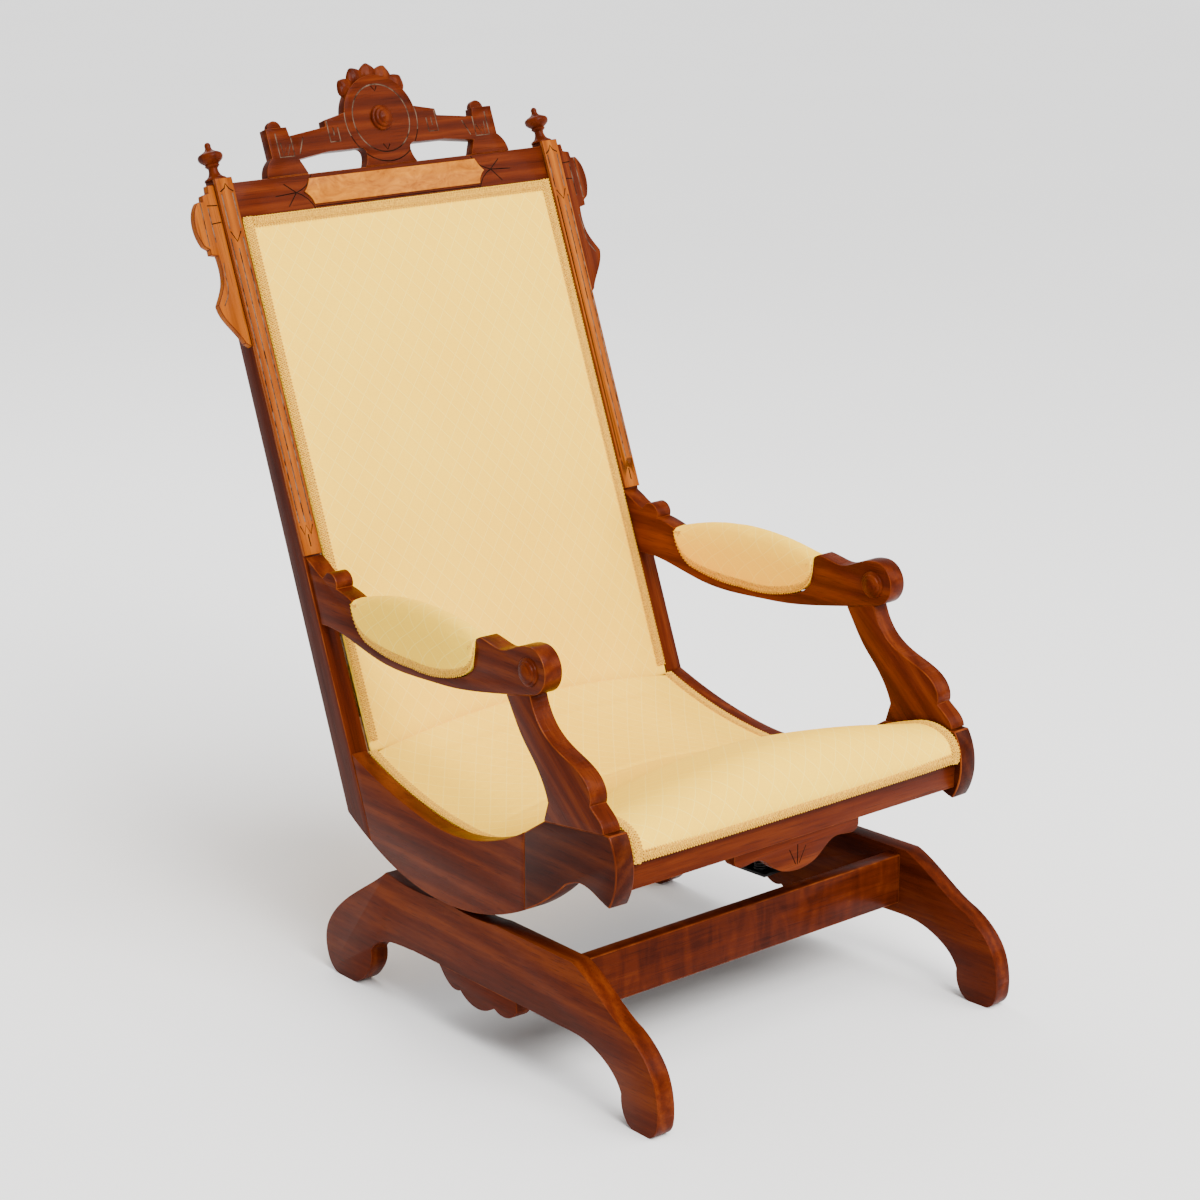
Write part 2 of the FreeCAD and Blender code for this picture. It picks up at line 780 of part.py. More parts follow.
crest_board()
board("crest_shell", "XZ_Plane", shell_outline(), "Sizes.shell_thick",
      lean_place(0, crest_front + d.shell_proud - d.shell_thick))
crest_boss = boss_shape(d.crest_boss_radius, d.crest_boss_height)
crest_boss.rotate(Vector(0, 0, 0), Vector(1, 0, 0), 90)
boss_y, boss_z = leaning(d.roundel_height, crest_front)
crest_boss.Placement = Placement(Vector(0, boss_y, boss_z),
                                 Rotation(Vector(1, 0, 0), -d.lean_angle)).multiply(crest_boss.Placement)
solid_piece("crest_boss", crest_boss)


# Seat frame: rails, pendant, battens, webbing and blocks

def rail_across(name, front, rear, low, high, wall, height):
    """A rail across the seat frame, cut to the tapered sides."""
    front_half = inner_half(front, wall) - d.fit_gap
    rear_half = inner_half(rear, wall) - d.fit_gap
    edges = outline((-front_half, front), (front_half, front), (rear_half, rear), (-rear_half, rear))
    return board(name, "XY_Plane", edges, height, Placement(Vector(0, 0, low), Rotation()))


rail_across("seat_front_rail", 0, d.seat_rail_thick, d.seat_rail_low, d.seat_rail_top, d.block_thick,
            "Sizes.seat_rail_top - Sizes.seat_rail_low")
rail_across("seat_rear_rail", d.rear_rail_place, d.rear_rail_place + d.seat_rail_thick,
            d.rear_rail_low, d.rear_rail_top, d.panel_thick, "Sizes.rear_rail_top - Sizes.rear_rail_low")


def pendant_outline():
    """The ogee drop under the middle of the front rail."""
    reach = d.pendant_reach
    top = d.seat_rail_low
    low = top - d.pendant_depth

    def half(mirror):
        return [(mirror * reach, top - 9), (mirror * (reach - 7), top - 16), (mirror * (reach - 24), top - 16),
                (mirror * 62, top - 16), (mirror * 46, top - 26), (mirror * 22, low + 3)]

    left = half(-1)
    right = half(1)
    return outline(
        (reach, top), right[0],
        ("curve", *right[1:]),
        ("arc", (0, low), left[5]),
        ("curve", *left[4::-1]),
        (-reach, top),
    )


board("front_rail_drop", "XZ_Plane", pendant_outline(), "Sizes.pendant_thick",
      Placement(Vector(0, 2 + d.pendant_thick, 0), Rotation()))


# The upholstered seat follows the sills, then rises over the front rail

def seat_profile(crown, sink=0.0):
    """Places on the arcs of the seat's upper line, from the rear to the front edge."""
    low_place = d.panel_front + 0.38 * (d.seat_rear - d.panel_front)
    low = d.sill_low + 1 - sink
    return [
        (d.seat_rear, d.sill_rear + 1 - sink + 0.75 * crown),
        (d.seat_rear - 112, low + 13 + 0.75 * crown),
        (low_place, low + crown),
        (low_place - 85, low + 16 + 1.4 * crown),
        (d.panel_front - 14, d.sill_front + 10 - sink + 1.3 * crown),
        (105, d.seat_rail_top + 4 - sink + 1.2 * crown),
        (d.seat_roll, d.block_top + 5 - sink + 1.15 * crown),
        (d.seat_roll - 25, d.block_top + 6 - sink + 1.2 * crown),
        (12 - 0.1 * crown, d.block_top + 1 - sink + 1.15 * crown),
        (-2 - 0.2 * crown, d.block_top - 11 - sink + 0.9 * crown),
        (-d.seat_front_swell + min(sink, 1), d.seat_front_low),
    ]


def seat_under(drop=0.0):
    """Straight runs under the seat from the front rail back to the rear, lowered by a drop."""
    runs = [(y, z - d.seat_pad_thick - drop) for y, z in seat_profile(0)[6::-1]]
    runs[-1] = (runs[-1][0] - 10, runs[-1][1])
    return runs


def seat_wire(crown, x, turn):
    """One closed section of the seat, standing at x and turned with the tapered side."""
    top = seat_profile(crown, d.gimp_thick)
    points = [Vector(0, y, z) for y, z in top]
    edges = []
    for first in range(0, len(points) - 1, 2):
        edges.append(Part.Arc(*points[first:first + 3]).toShape())
    lip = d.seat_rail_top + d.fit_gap
    fold = -d.fit_gap - d.gimp_width * math.sin(taper)
    under = [top[-1], (fold, d.seat_front_low), (fold, lip), (d.seat_rail_thick + 2, lip)]
    under += seat_under() + [top[0]]
    corners = [Vector(0, y, z) for y, z in under]
    for a, b in zip(corners, corners[1:]):
        edges.append(Part.LineSegment(a, b).toShape())
    wire = Part.Wire(edges)
    wire.Placement = Placement(Vector(x, 0, 0), Rotation(Vector(0, 0, 1), turn))
    return wire


def sweep_outward(face, side, x, width):
    """A face in a tapered side plane, moved out square to that plane."""
    turn = Rotation(Vector(0, 0, 1), side * taper_degrees)
    face.Placement = Placement(Vector(side * x, 0, 0), turn)
    outward = Vector(side * math.cos(taper), math.sin(taper), 0)
    return face.extrude(outward * width)


def side_box(side, half_width, low, high):
    """A box in the frame of a tapered side: x is outward from the plane half_width out."""
    across = sorted((side * low[0], side * high[0]))
    box = box_between((across[0], low[1], low[2]), (across[1], high[1], high[2]))
    box.Placement = side_place(side, half_width).multiply(box.Placement)
    return box


block_step = d.block_thick - d.panel_thick
seat_inset = chair_half - d.block_thick - d.fit_gap - d.gimp_width
margin_width = d.gimp_width + block_step


def block_room(side):
    """The room that a front block takes out of the seat's edge."""
    return side_box(side, chair_half, (-d.block_thick - d.fit_gap, -50, 200),
                    (10, d.panel_front + d.fit_gap, 500))


def seat_cushion():
    """The padded seat: a crowned middle between two flat margins that carry the gimp."""
    sections = []
    for share in (-1, -0.55, 0, 0.55, 1):
        crown = d.seat_crown * (1 - share ** 2)
        sections.append(seat_wire(crown, share * seat_inset, share * taper_degrees))
    cushion = Part.makeLoft(sections, True, False)
    for side, _ in SIDES:
        face = Part.Face(seat_wire(0, 0, 0))
        margin = sweep_outward(face, side, seat_inset, margin_width)
        cushion = cushion.fuse(margin.cut(block_room(side)))
    front = seat_profile(0, d.gimp_thick)[-1][0]
    flat_band = box_between((-seat_inset - 20, front - 30, d.seat_front_low - 5),
                            (seat_inset + 20, front, d.seat_front_low + d.gimp_width))
    return cushion.cut(flat_band)


def arc_band(points, thickness):
    """A strip's side view: arcs through the points, and again a thickness above them."""
    lifted = []
    for number, (y, z) in enumerate(points):
        before = points[max(number - 1, 0)]
        after = points[min(number + 1, len(points) - 1)]
        run = math.hypot(after[0] - before[0], after[1] - before[1])
        lifted.append((y + (after[1] - before[1]) / run * thickness,
                       z - (after[0] - before[0]) / run * thickness))
    near = [Vector(0, y, z) for y, z in points]
    far = [Vector(0, y, z) for y, z in lifted]
    edges = []
    for first in range(0, len(points) - 1, 2):
        edges.append(Part.Arc(*near[first:first + 3]).toShape())
    edges.append(Part.LineSegment(near[-1], far[-1]).toShape())
    for first in range(len(points) - 1, 0, -2):
        edges.append(Part.Arc(far[first], far[first - 1], far[first - 2]).toShape())
    edges.append(Part.LineSegment(far[0], near[0]).toShape())
    return Part.Face(Part.Wire(edges))


def seat_gimp():
    """Braid along both sides of the seat and across the bottom of its front."""
    strips = []
    for side, _ in SIDES:
        strip = sweep_outward(arc_band(seat_profile(0, d.gimp_thick), d.gimp_thick), side, seat_inset,
                              margin_width)
        behind = side_box(side, chair_half, (-200, d.panel_front, 200),
                          (-d.panel_thick - d.fit_gap - d.gimp_width, 600, 500))
        strips.append(strip.cut(block_room(side)).cut(behind))
    front = seat_profile(0, d.gimp_thick)[-1][0]
    half = seat_inset - d.gimp_thick
    strips.append(box_between((-half, front - d.gimp_thick, d.seat_front_low),
                              (half, front, d.seat_front_low + d.gimp_width)))
    return Part.makeCompound(strips)


solid_piece("seat_cushion", seat_cushion())
solid_piece("seat_gimp", seat_gimp())


# Under the seat: battens, webbing, corner blocks and a dust cloth

batten_rear = d.rear_rail_place - d.fit_gap
batten_front = d.seat_rail_thick + 2


def under_height(y, drop):
    """Height under the seat at y, lowered by a drop."""
    runs = seat_under(drop)
    for (y1, z1), (y2, z2) in zip(runs, runs[1:]):
        if y <= y2:
            return z1 + (z2 - z1) * max(y - y1, 0) / (y2 - y1)
    return runs[-1][1]


def runs_between(front, rear, drop):
    inside = [p for p in seat_under(drop) if front < p[0] < rear]
    return [(front, under_height(front, drop))] + inside + [(rear, under_height(rear, drop))]


web_gap = 2 * d.fit_gap
web_room = d.webbing_thick + web_gap + d.fit_gap


def seat_batten(side):
    """A curved strip inside a panel, its edge level with the webbing all the way across."""
    upper = runs_between(batten_front, batten_rear, web_room)
    lower = runs_between(batten_front, batten_rear, web_room + d.batten_depth)[::-1]
    corners = [Vector(0, y, z) for y, z in upper + lower]
    face = Part.Face(Part.makePolygon(corners + [corners[0]]))
    across = face.extrude(Vector(side * d.front_width, 0, 0))
    low = (-d.panel_thick - d.batten_thick, -50, 100)
    strip = across.common(side_box(side, chair_half, low, (-d.panel_thick, 700, 500)))
    return strip.cut(block_room(side))


for side, word in SIDES:
    solid_piece("seat_batten_" + word, seat_batten(side))


def seat_webbing():
    """One strap across each straight run under the seat, resting on the battens."""
    straps = []
    runs = seat_under(web_gap)
    for (y1, z1), (y2, z2) in zip(runs, runs[1:]):
        middle = (y1 + min(y2, batten_rear)) / 2
        half = min(d.webbing_width, min(y2, batten_rear) - y1 - 4) / 2
        ends = [(middle - half, under_height(middle - half, web_gap)),
                (middle + half, under_height(middle + half, web_gap))]
        corners = [Vector(0, y, z) for y, z in ends]
        corners += [Vector(0, y, z - d.webbing_thick) for y, z in reversed(ends)]
        face = Part.Face(Part.makePolygon(corners + [corners[0]]))
        reach = inner_half(middle + half, d.block_thick) - 2
        face.translate(Vector(-reach, 0, 0))
        straps.append(face.extrude(Vector(2 * reach, 0, 0)))
    return Part.makeCompound(straps)


def dust_cloth():
    """Thin cloth stretched under the battens, from the front rail to the rear rail."""
    front = d.seat_rail_thick + d.fit_gap
    drop = web_room + d.batten_depth + d.fit_gap
    upper = runs_between(front, batten_rear, drop)
    lower = runs_between(front, batten_rear, drop + d.cloth_thick)[::-1]
    corners = [Vector(0, y, z) for y, z in upper + lower]
    face = Part.Face(Part.makePolygon(corners + [corners[0]]))
    reach = inner_half(batten_rear, d.panel_thick) - 1
    face.translate(Vector(-reach, 0, 0))
    return face.extrude(Vector(2 * reach, 0, 0))


def corner_blocks():
    """Three-cornered glue blocks behind the front rail."""
    blocks = []
    front = d.seat_rail_thick + d.fit_gap
    for side, _ in SIDES:
        corner_x = inner_half(front + d.corner_block, d.block_thick) - d.fit_gap
        corners = [Vector(side * corner_x, front, d.seat_rail_low + 2),
                   Vector(side * (corner_x - d.corner_block), front, d.seat_rail_low + 2),
                   Vector(side * corner_x, front + d.corner_block, d.seat_rail_low + 2)]
        face = Part.Face(Part.makePolygon(corners + [corners[0]]))
        blocks.append(face.extrude(Vector(0, 0, d.corner_block_height)))
    return Part.makeCompound(blocks)


solid_piece("seat_webbing", seat_webbing())
solid_piece("dust_cloth", dust_cloth())
solid_piece("corner_blocks", corner_blocks())


# The upholstered back between the stiles

back_half = stile_inner - d.back_pad_inset
back_margin = -d.gimp_thick
back_rear = -d.facing_thick - (d.rail_thick - d.lower_rail_thick) + 2
back_flat = 0.6


def back_wire(crown, x):
    """One closed section of the back pad at x, in the leaning frame."""
    low = d.back_pad_low
    high = d.back_pad_high
    rail = d.crest_rail_low - 2
    rise = high - low
    front = [
        (low, back_margin),
        (low + 0.09 * rise, back_margin + 0.6 * crown),
        (low + 0.22 * rise, back_margin + 0.92 * crown),
        (low + 0.5 * rise, back_margin + crown),
        (low + 0.81 * rise, back_margin + 0.9 * crown),
        (low + 0.9 * rise, back_margin + 0.62 * crown),
        (high - d.gimp_width, back_margin),
    ]
    points = [Vector(0, -n, s) for s, n in front]
    edges = []
    for first in (0, 2, 4):
        edges.append(Part.Arc(*points[first:first + 3]).toShape())
    rear = [front[6], (high, back_margin), (high, d.fit_gap - d.facing_thick),
            (rail, d.fit_gap - d.facing_thick), (rail, back_rear), (low, back_rear), front[0]]
    corners = [Vector(0, -n, s) for s, n in rear]
    for a, b in zip(corners, corners[1:]):
        edges.append(Part.LineSegment(a, b).toShape())
    wire = Part.Wire(edges)
    wire.translate(Vector(x, 0, 0))
    return wire


def back_cushion():
    """The padded back: a crowned middle between flat side margins."""
    inset = back_half - d.gimp_width
    sections = [back_wire(max(d.back_crown * (1 - share ** 2), back_flat), share * inset)
                for share in (-1, -0.55, 0, 0.55, 1)]
    cushion = Part.makeLoft(sections, True, False)
    for side, _ in SIDES:
        face = Part.Face(back_wire(back_flat, side * inset))
        cushion = cushion.fuse(face.extrude(Vector(side * d.gimp_width, 0, 0)))
    cushion.Placement = lean_place(0, 0)
    return cushion


def lean_box(low, high):
    """A box in the leaning frame: x, n and s."""
    box = box_between((low[0], -high[1], low[2]), (high[0], -low[1], high[2]))
    box.Placement = lean_place(0, 0).multiply(box.Placement)
    return box


def back_gimp():
    """Braid down both sides of the back and across its top."""
    near = back_margin + back_flat
    far = near + d.gimp_thick
    inset = back_half - d.gimp_width
    strips = [lean_box((-inset + d.fit_gap, near, d.back_pad_high - d.gimp_width),
                       (inset - d.fit_gap, far, d.back_pad_high))]
    for side, _ in SIDES:
        across = sorted((side * inset, side * back_half))
        strips.append(lean_box((across[0], near, d.back_pad_low + 25), (across[1], far, d.back_pad_high)))
    return Part.makeCompound(strips)


def back_webbing():
    """Upright straps in front of the lower rail and cross straps between the stiles behind them."""
    upright_far = back_rear - d.fit_gap
    upright_near = upright_far - d.webbing_thick
    cross_far = upright_near - d.fit_gap
    straps = []
    for share in (-0.7, -0.23, 0.23, 0.7):
        middle = share * back_half
        straps.append(lean_box((middle - d.webbing_width / 2, upright_near, d.lower_rail_low + 15),
                               (middle + d.webbing_width / 2, upright_far, d.crest_rail_low - 3)))
    for share in (0.15, 0.35, 0.55, 0.75):
        low = d.back_pad_low + share * (d.back_pad_high - d.back_pad_low)
        straps.append(lean_box((-back_half, cross_far - d.webbing_thick, low),
                               (back_half, cross_far, low + d.webbing_width)))
    return Part.makeCompound(straps)


solid_piece("back_cushion", back_cushion())
solid_piece("back_gimp", back_gimp())
solid_piece("back_webbing", back_webbing())
board("outside_back_panel", "XZ_Plane", rail_edges(rail_half, d.lower_rail_low + 5, d.crest_rail_top - 5),
      "Sizes.panel_board_thick",
      lean_place(0, -d.facing_thick - d.rail_thick - d.panel_board_thick - d.fit_gap))


# Arm pads and the braid along their lower edges

def pad_hollow():
    """Places along the hollow in an arm's top, from the rear to the front."""
    low = d.arm_waist + d.arm_waist_depth + d.fit_gap
    rear = d.pad_rear
    front = d.pad_front
    return [(rear - 2, low + 52), (rear - 13, low + 26), (rear - 34, low + 10), (rear - 75, low + 2),
            (rear - 131, low), (rear - 193, low + 3), (front + 31, low + 13), (front + 8, low + 30),
            (front + 1, low + 56)]


def pad_section(y, low, high):
    """One closed cross-section of an arm pad: drawn in at the bottom and round on top."""
    narrow = d.arm_thick / 2 + 1
    wide = d.arm_thick / 2 + d.pad_bulge
    tall = high - low
    points = [(-narrow, low), (-wide, low + 0.42 * tall), (-wide * 0.8, low + 0.82 * tall), (0, high),
              (wide * 0.8, low + 0.82 * tall), (wide, low + 0.42 * tall), (narrow, low)]
    corners = [Vector(x, y, z) for x, z in points]
    edges = []
    for first in (0, 2, 4):
        edges.append(Part.Arc(*corners[first:first + 3]).toShape())
    edges.append(Part.LineSegment(corners[6], corners[0]).toShape())
    return Part.Wire(edges)


def pad_top(y):
    """Height of a pad's top at y: one long arc over its length."""
    middle = (d.pad_rear + d.pad_front) / 2
    half = (d.pad_rear - d.pad_front) / 2
    share = (y - middle) / half
    ends = d.pad_crown - 20 + 4.5 * -share
    return ends + 20 * (1 - share ** 2)


def clear_of(shape, other):
    """A soft piece, cut back a little from the wood below and beside it."""
    for move in ((0, 0, 1), (0, 1, 0), (0, -1, 0), (1, 0, 0), (-1, 0, 0)):
        tool = other.copy()
        tool.translate(Vector(*move) * d.fit_gap)
        shape = shape.cut(tool)
    return shape


def arm_pad_shapes(side, arm_shape):
    """The pad over an arm's tongue and the braid around its foot."""
    centre = arm_half - d.arm_thick / 2
    points = pad_hollow()
    pad = Part.makeLoft([pad_section(y, z - 0.5, pad_top(y)) for y, z in points], True, False)
    pad.Placement = side_place(side, centre)
    pad = clear_of(pad, arm_shape)
    half = d.arm_thick / 2 + d.pad_bulge + 1.5
    braid = arc_band(points, d.gimp_width * 0.7)
    braid.translate(Vector(-half, 0, 0))
    braid = braid.extrude(Vector(2 * half, 0, 0))
    braid.Placement = side_place(side, centre)
    braid = clear_of(braid.cut(pad), arm_shape)
    solids = [solid for solid in braid.Solids if solid.Volume > 200]
    return pad, Part.makeCompound(solids)


doc.recompute()
for side, word in SIDES:
    arm_shape = doc.getObject("arm_" + word).Shape
    pad, braid = arm_pad_shapes(side, arm_shape)
    solid_piece("arm_pad_" + word, pad)
    solid_piece("arm_gimp_" + word, braid)


# Iron brackets and coil springs between the panels and the base

spring_top = d.spring_low + d.spring_turns * d.spring_pitch
lower_shelf = d.spring_low - d.wire_radius - d.bracket_thick
upper_shelf = spring_top + 2 * d.wire_radius
spring_reach = d.base_thick + d.bracket_thick + d.spring_standoff
upper_reach = spring_reach + d.base_setback
shelf_end = 12.0


def spring_places():
    return [d.contact_place - d.spring_spacing / 2, d.contact_place + d.spring_spacing / 2]


def screw_places():
    return [d.contact_place - d.screw_spacing / 2, d.contact_place + d.screw_spacing / 2]


def bracket(side, half_width, wall, reach, shelf, upright):
    """An angle bracket: a shelf under or over the coils, a flange on the board and two spigots."""
    low_y = d.contact_place - d.bracket_width / 2
    high_y = d.contact_place + d.bracket_width / 2
    flange = side_box(side, half_width, (-wall - d.bracket_thick, low_y, shelf),
                      (-wall, high_y, shelf + d.bracket_flange))
    plate = side_box(side, half_width, (-reach - shelf_end, low_y, shelf),
                     (-wall, high_y, shelf + d.bracket_thick))
    shape = flange.fuse(plate)
    for y in spring_places():
        foot = shelf + d.bracket_thick if upright else shelf
        rise = Vector(0, 0, 1 if upright else -1)
        spigot = Part.makeCylinder(d.spigot_radius, d.spigot_height, Vector(-side * reach, y, foot), rise)
        spigot.Placement = side_place(side, half_width).multiply(spigot.Placement)
        shape = shape.fuse(spigot)
    height = shelf + (d.bracket_flange + d.bracket_thick) / 2
    for y in screw_places():
        hole = Part.makeCylinder(d.screw_radius + d.fit_gap, d.bracket_thick + 4,
                                 Vector(-side * (wall - 2), y, height), Vector(-side, 0, 0))
        hole.Placement = side_place(side, half_width).multiply(hole.Placement)
        shape = shape.cut(hole)
    return shape.removeSplitter(), height


def screw(side, half_width, wall, y, height):
    """A round-headed wood screw through a bracket's flange into its board."""
    head_low = wall + d.bracket_thick
    shank = Part.makeCylinder(d.screw_radius, d.screw_length, Vector(-side * head_low, y, height),
                              Vector(side, 0, 0))
    head = Part.makeCylinder(d.screw_head_radius, d.screw_head_height, Vector(-side * head_low, y, height),
                             Vector(-side, 0, 0))
    shape = shank.fuse(head)
    shape.Placement = side_place(side, half_width)
    return shape


def drill(body, side, wall, height, name):
    """Pilot holes for the bracket screws, sunk from a board's inner face."""
    before = body.Tip
    pocket = body.newObject("PartDesign::Pocket", name)
    holes = []
    for y in screw_places():
        holes.append(Part.Circle(Vector(y, height, 0), Vector(0, 0, 1), d.screw_radius + d.fit_gap))
    sketch = sketch_on(body, "YZ_Plane", holes, name + "_outline")
    sketch.AttachmentOffset = Placement(Vector(0, 0, -side * wall), Rotation())
    pocket.Profile = sketch
    pocket.setExpression("Length", "Sizes.screw_length - Sizes.bracket_thick + 1")
    pocket.Reversed = side == LEFT
    body.Tip = pocket
    doc.recompute()
    print("drilled", name, round(before.Shape.Volume - pocket.Shape.Volume, 1), "cubic mm")


def biarc(start, start_way, end, end_way):
    """Two arcs that leave and arrive along the given unit directions."""
    chord = end - start
    ways = start_way + end_way
    a = 2 * (start_way.dot(end_way) - 1)
    b = -2 * chord.dot(ways)
    c = chord.dot(chord)
    reach = (-b - math.sqrt(b * b - 4 * a * c)) / (2 * a)
    corners = (start + start_way * reach, end - end_way * reach)
    joint = (corners[0] + corners[1]) * 0.5
    arcs = []
    for first, corner, last in ((start, corners[0], joint), (joint, corners[1], end)):
        middle = (first + last) * 0.5
        sag = middle.distanceToPoint(corner)
        radius = reach * first.distanceToPoint(middle) / sag
        depth = math.sqrt(radius ** 2 + reach ** 2) - radius
        arcs.append(Part.Arc(first, corner + (middle - corner) * (depth / sag), last).toShape())
    return arcs


def helix_point(turns):
    angle = 2 * math.pi * turns
    radius = d.spring_radius
    place = Vector(radius * math.cos(angle), radius * math.sin(angle), d.spring_pitch * turns)
    way = Vector(-radius * math.sin(angle), radius * math.cos(angle), d.spring_pitch / (2 * math.pi))
    return place, way.normalize()


def coil():
    """One open-wound spring: a single tube along two arcs to each half turn."""
    path = []
    for half in range(int(2 * d.spring_turns)):
        path += biarc(*helix_point(half / 2), *helix_point((half + 1) / 2))
    start, way = helix_point(0)
    section = Part.Wire(Part.makeCircle(d.wire_radius, start, way))
    return Part.Wire(path).makePipeShell([section], True, False), path


def least_gap(path):
    """Smallest clear distance between turns, from points spread along the path."""
    points = []
    for edge in path:
        points += edge.discretize(7)[:-1]
    turn = 6 * 4
    least = 1e9
    for number, point in enumerate(points[:6 * turn]):
        for other in points[number + turn * 3 // 4:number + 2 * turn]:
            least = min(least, point.distanceToPoint(other))
    return least - 2 * d.wire_radius


coil_shape, coil_path = coil()
print("least gap between turns of a spring", round(least_gap(coil_path), 2), "mm")
screws = {"base": [], "chair": []}
for side, word in SIDES:
    lower, lower_height = bracket(side, base_half, d.base_thick, spring_reach, lower_shelf, True)
    solid_piece("spring_lower_bracket_" + word, lower)
    upper, upper_height = bracket(side, chair_half, d.panel_thick, upper_reach, upper_shelf, False)
    solid_piece("spring_upper_bracket_" + word, upper)
    drill(doc.getObject("base_side_" + word), side, d.base_thick, lower_height, "base_holes_" + word)
    drill(doc.getObject("rocker_panel_" + word), side, d.panel_thick, upper_height, "panel_holes_" + word)
    for y in screw_places():
        screws["base"].append(screw(side, base_half, d.base_thick, y, lower_height))
        screws["chair"].append(screw(side, chair_half, d.panel_thick, y, upper_height))
    springs = []
    for y in spring_places():
        spring = coil_shape.copy()
        spring.translate(Vector(-side * spring_reach, y, d.spring_low))
        spring.Placement = side_place(side, base_half).multiply(spring.Placement)
        springs.append(spring)
    solid_piece("springs_" + word, Part.makeCompound(springs))
solid_piece("bracket_screws_base", Part.makeCompound(screws["base"]))
solid_piece("bracket_screws_chair", Part.makeCompound(screws["chair"]))


# Centre the chair over the origin, check every piece and write it out

doc.recompute()
boxes = [piece.Shape.optimalBoundingBox(False, False) for piece in finished]
front = min(box.YMin for box in boxes)
rear = max(box.YMax for box in boxes)
shift = Placement(Vector(0, -(front + rear) / 2, 0), Rotation())
for piece in finished:
    piece.Placement = shift.multiply(piece.Placement)
doc.recompute()

for item in doc.Objects:
    if "Invalid" in item.State or "Error" in item.State:
        raise RuntimeError(item.Label + " did not compute")
for piece in finished:
    if piece.Shape.isNull() or not piece.Shape.isValid() or not piece.Shape.Solids:
        raise RuntimeError(piece.Label + " is not a sound solid")

os.makedirs("parts", exist_ok=True)
for piece in finished:
    piece.Shape.exportStep("parts/%s.step" % piece.Label)
print("pieces", len(finished), "front", round(front, 2), "rear", round(rear, 2))
print("height", round(max(box.ZMax for box in boxes), 2), "lowest", round(min(box.ZMin for box in boxes), 3))
print("contact line at y", round(d.contact_place - (front + rear) / 2, 3), "z", d.track_height)
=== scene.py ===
import math
import bpy
import numpy as np
from mathutils import Matrix, Vector


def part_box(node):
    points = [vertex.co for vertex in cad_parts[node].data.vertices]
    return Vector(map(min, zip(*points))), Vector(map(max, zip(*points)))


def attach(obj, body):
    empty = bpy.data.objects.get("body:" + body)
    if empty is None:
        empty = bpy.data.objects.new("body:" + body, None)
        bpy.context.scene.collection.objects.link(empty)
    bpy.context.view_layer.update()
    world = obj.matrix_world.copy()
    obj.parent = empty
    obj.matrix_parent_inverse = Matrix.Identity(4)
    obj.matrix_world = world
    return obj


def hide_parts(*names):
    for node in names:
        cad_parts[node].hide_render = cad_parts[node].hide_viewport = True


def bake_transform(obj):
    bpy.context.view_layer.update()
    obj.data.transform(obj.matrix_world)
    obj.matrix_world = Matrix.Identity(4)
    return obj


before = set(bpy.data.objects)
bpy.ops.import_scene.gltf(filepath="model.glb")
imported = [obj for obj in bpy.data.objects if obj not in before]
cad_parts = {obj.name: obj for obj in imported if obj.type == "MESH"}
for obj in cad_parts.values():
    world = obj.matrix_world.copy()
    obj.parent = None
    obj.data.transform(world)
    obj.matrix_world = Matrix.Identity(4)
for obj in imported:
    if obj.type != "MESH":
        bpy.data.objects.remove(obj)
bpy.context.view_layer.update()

# The platform rocker, dressed: walnut boards with softened arrises and incised lines, stuffed
# yellow cloth, braid and black springs. Metres, in the frame of the CAD: +Z up, the sitter faces -Y.

MM = 0.001
LEFT, RIGHT = 1, -1
SIDES = ((LEFT, "left"), (RIGHT, "right"))
LEAN = math.radians(20.85)
HALF_FRONT = 305.0
HALF_OVER_STILES = 285.5
STILE_FOOT = 398.0
STILE_FOOT_HEIGHT = 318.0
TAPER = math.atan((HALF_FRONT - HALF_OVER_STILES) / (STILE_FOOT + STILE_FOOT_HEIGHT * math.tan(LEAN)))
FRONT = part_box("front_rail_drop")[0][1] - 2.0 * MM
CREST_FACE = -4.0
RAIL_FACE = -5.0
ROUNDEL = (0.0, 1153.0)
SEAT_CROWN = 30
SEAT_HALF = 261.7
BACK_HALF = 256.6
BACK_FREE_HALF = 241.8
PAD_MIDDLE = -11.5


# Places on the chair, in millimetres

def standing(x, y, z):
    """A place measured back from the front faces of the front blocks and up from the floor."""
    return Vector((x * MM, y * MM + FRONT, z * MM))


def leaning(x, s, n):
    """A place on the back: x across, s up along the stiles, n out of their front."""
    y = STILE_FOOT + s * math.sin(LEAN) - n * math.cos(LEAN)
    return standing(x, y, s * math.cos(LEAN) + n * math.sin(LEAN))


def along_side(side, out, y, z):
    """A place beside a tapered side of the chair, out from its outer face."""
    across = HALF_FRONT + out * math.cos(TAPER) - y * math.sin(TAPER)
    return standing(side * across, out * math.sin(TAPER) + y * math.cos(TAPER), z)


def bowed(a, b, c, steps):
    """Points on the round line through three places, from the first to the last."""
    (ax, ay), (bx, by), (cx, cy) = a, b, c
    d = 2 * (ax * (by - cy) + bx * (cy - ay) + cx * (ay - by))
    aa, bb, cc = ax * ax + ay * ay, bx * bx + by * by, cx * cx + cy * cy
    ux = (aa * (by - cy) + bb * (cy - ay) + cc * (ay - by)) / d
    uy = (aa * (cx - bx) + bb * (ax - cx) + cc * (bx - ax)) / d
    radius = math.hypot(ax - ux, ay - uy)
    first = math.atan2(ay - uy, ax - ux)
    sweep = (math.atan2(cy - uy, cx - ux) - first) % math.tau
    if (math.atan2(by - uy, bx - ux) - first) % math.tau > sweep:
        sweep -= math.tau
    turns = [first + sweep * k / steps for k in range(steps + 1)]
    return [(ux + radius * math.cos(t), uy + radius * math.sin(t)) for t in turns]


# Tools

